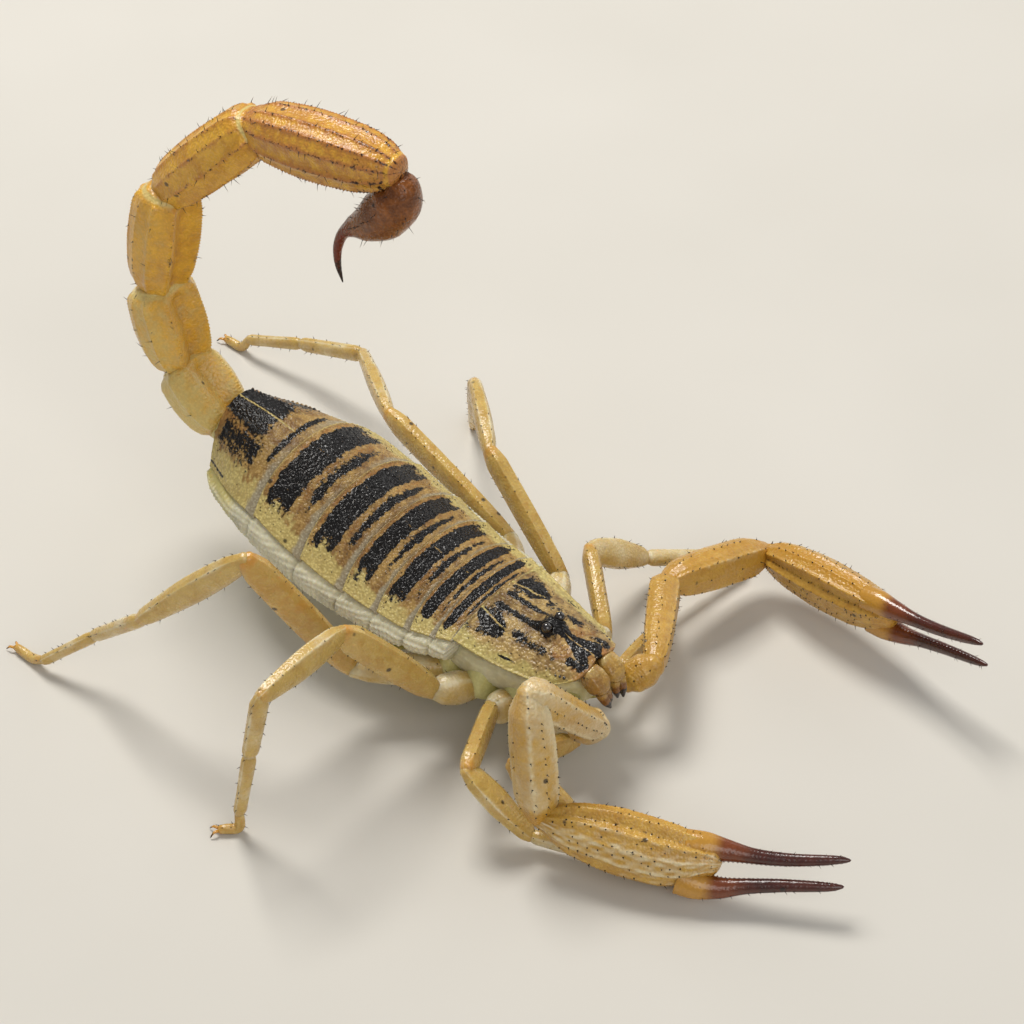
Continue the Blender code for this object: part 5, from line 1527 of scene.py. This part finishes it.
# %% Rows on the arms
arm_roots, finger_roots = [], []
arm_angles, palm_angles = [at for at, _, _ in ARM_KEELS], [at for at, _, _ in PALM_KEELS] + [52, 82, 112]
for a, name in enumerate(ARM_TUBES):
    knob, upper, fore, hand, fixed, moving = ARM_TUBES[name]
    arm_roots += [keel_roots(knob, range(20, 360, 40), 0.45, 0.35, 120 + a, 6 + 6 * a),
                  keel_roots(upper, arm_angles, 0.42, 0.6, 122 + a, 7 + 6 * a),
                  keel_roots(fore, arm_angles, 0.42, 0.6, 124 + a, 8 + 6 * a),
                  keel_roots(hand, palm_angles, 0.46, 0.62, 126 + a, 9 + 6 * a)]
    finger_roots += [keel_roots(fixed, (30, 90, 150, 270), 0.5, 0.6, 128 + a, 10 + 6 * a),
                     keel_roots(moving, (30, 90, 150, 270), 0.5, 0.6, 130 + a, 11 + 6 * a)]
bristle_coat("arm_bristles", arm_roots, (0.05, 0.20), 0.046, 202)
bristle_coat("finger_bristles", finger_roots, (0.08, 0.2), 0.022, 203)

# %% Rows on the legs
LEG_SHARES = (0.3, 0.5, 0.5, 0.5, 0.5, 0.5)
leg_roots = []
for a, label in enumerate(LEG_TUBES):
    for b, tube in enumerate(LEG_TUBES[label]):
        leg_roots.append(keel_roots(tube, (60, 120, 242, 298), 0.50, LEG_SHARES[b], 140 + 6 * a + b,
                                    18 + (6 * a + b) % 46))
bristle_coat("leg_bristles", leg_roots, (0.07, 0.20), 0.032, 204)

# %% Dots along the back plates
back_roots = []
for number, grid in enumerate(PLATE_GRIDS + [shield]):
    rows, cols = grid["upper"].shape[:2]
    draw = np.random.default_rng(300 + number)
    many = 40 if number < 7 else 60
    u = np.where(draw.random(many) < 0.7, draw.choice([-1, 1], many) * draw.uniform(0.70, 0.93, many),
                 draw.uniform(-0.6, 0.6, many))
    i = (np.where(draw.random(many) < 0.5, draw.uniform(0.86, 0.97, many), draw.uniform(0.3, 0.9, many))
         * (rows - 1)).astype(int)
    j = ((u + 1) / 2 * (cols - 1)).astype(int)
    if number == 7:
        i = (draw.uniform(0.03, 0.97, many) * (rows - 1)).astype(int)
    along = unit(grid["upper"][np.clip(i + 1, 0, rows - 1), j] - grid["upper"][i - 1, j])
    cell = 56 + number
    unwrap = np.column_stack([cell % 8 + 0.06 + 0.88 * j / cols, cell // 8 + 0.06 + 0.88 * i / rows]) / 8
    back_roots.append((grid["upper"][i, j], grid["normal"][i, j], along, unwrap))
bristle_coat("back_bristles", back_roots, (0.04, 0.10), 0.030, 205, lay=1.0)

# %% [markdown]
# ## Floor, light and camera
# A plain pale floor and three soft lights show the shell without hard shadows. The camera looks
# down on the animal from its front left, at the distance of a close-up lens.

# %% Floor
FLOOR_HALF = 1.2


def plain_floor():
    """Large level square just under the feet, as stage."""
    made = bpy.data.materials.new("pale_floor")
    made.use_nodes = True
    tree = made.node_tree
    shader = tree.nodes["Principled BSDF"]
    speckle = tree.nodes.new("ShaderNodeTexNoise")
    speckle.inputs["Scale"].default_value = 60
    tone = tree.nodes.new("ShaderNodeMix")
    tone.data_type = "RGBA"
    tone.inputs["A"].default_value, tone.inputs["B"].default_value = rgb(202, 198, 189), rgb(210, 206, 198)
    where = tree.nodes.new("ShaderNodeTexCoord")
    tree.links.new(where.outputs["Object"], speckle.inputs["Vector"])
    tree.links.new(speckle.outputs["Fac"], tone.inputs["Factor"])
    tree.links.new(tone.outputs["Result"], shader.inputs["Base Color"])
    shader.inputs["Roughness"].default_value = 0.8
    half = FLOOR_HALF
    mesh = bpy.data.meshes.new("floor")
    mesh.from_pydata([(-half, -half, 0), (half, -half, 0), (half, half, 0), (-half, half, 0)], [],
                     [(0, 1, 2, 3)])
    mesh.materials.append(made)
    floor = bpy.data.objects.new("floor", mesh)
    bpy.context.collection.objects.link(floor)


plain_floor()
print("floor, m:", 2 * FLOOR_HALF, "square")


# %% Lights
def area_light(name, place, aim, size, power, colour):
    """Square soft light at place, turned towards aim."""
    data = bpy.data.lights.new(name, "AREA")
    data.size, data.energy, data.color = size, power, colour
    lamp = bpy.data.objects.new(name, data)
    lamp.location = place
    towards = mathutils.Vector(aim) - mathutils.Vector(place)
    lamp.rotation_euler = towards.to_track_quat("-Z", "Y").to_euler()
    bpy.context.collection.objects.link(lamp)


MIDDLE = (0.0, 0.0, 0.006)
area_light("sun_side", (0.06, 0.14, 0.28), MIDDLE, 0.12, 0.85, (1.0, 0.98, 0.94))
area_light("sky_front", (-0.14, -0.26, 0.24), MIDDLE, 0.26, 0.45, (1.0, 0.98, 0.95))
area_light("sky_left", (0.32, -0.04, 0.16), MIDDLE, 0.26, 0.20, (1.0, 0.98, 0.96))
world = bpy.data.worlds.new("pale_sky")
world.use_nodes = True
world.node_tree.nodes["Background"].inputs["Color"].default_value = (0.96, 0.96, 0.97, 1)
world.node_tree.nodes["Background"].inputs["Strength"].default_value = 0.30
bpy.context.scene.world = world
bpy.context.scene.view_settings.view_transform = "Standard"
print("lights:", len(bpy.data.lights))

# %% Camera
AZIMUTH, ELEVATION, DISTANCE = math.radians(-50), math.radians(42), 0.150
FIELD_OF_VIEW = math.radians(18.33)
AIM = np.array([4.953, 0.301, 5.0]) * MM
back = np.array([math.sin(AZIMUTH) * math.cos(ELEVATION), -math.cos(AZIMUTH) * math.cos(ELEVATION),
                 math.sin(ELEVATION)])
camera_data = bpy.data.cameras.new("camera")
camera_data.angle = FIELD_OF_VIEW
camera_data.clip_start = 0.005
camera = bpy.data.objects.new("camera", camera_data)
camera.location = AIM + back * DISTANCE
camera.rotation_euler = mathutils.Vector(back).to_track_quat("Z", "Y").to_euler()
bpy.context.collection.objects.link(camera)
bpy.context.scene.camera = camera
print("camera at, mm:", (np.array(camera.location) / MM).round(1))
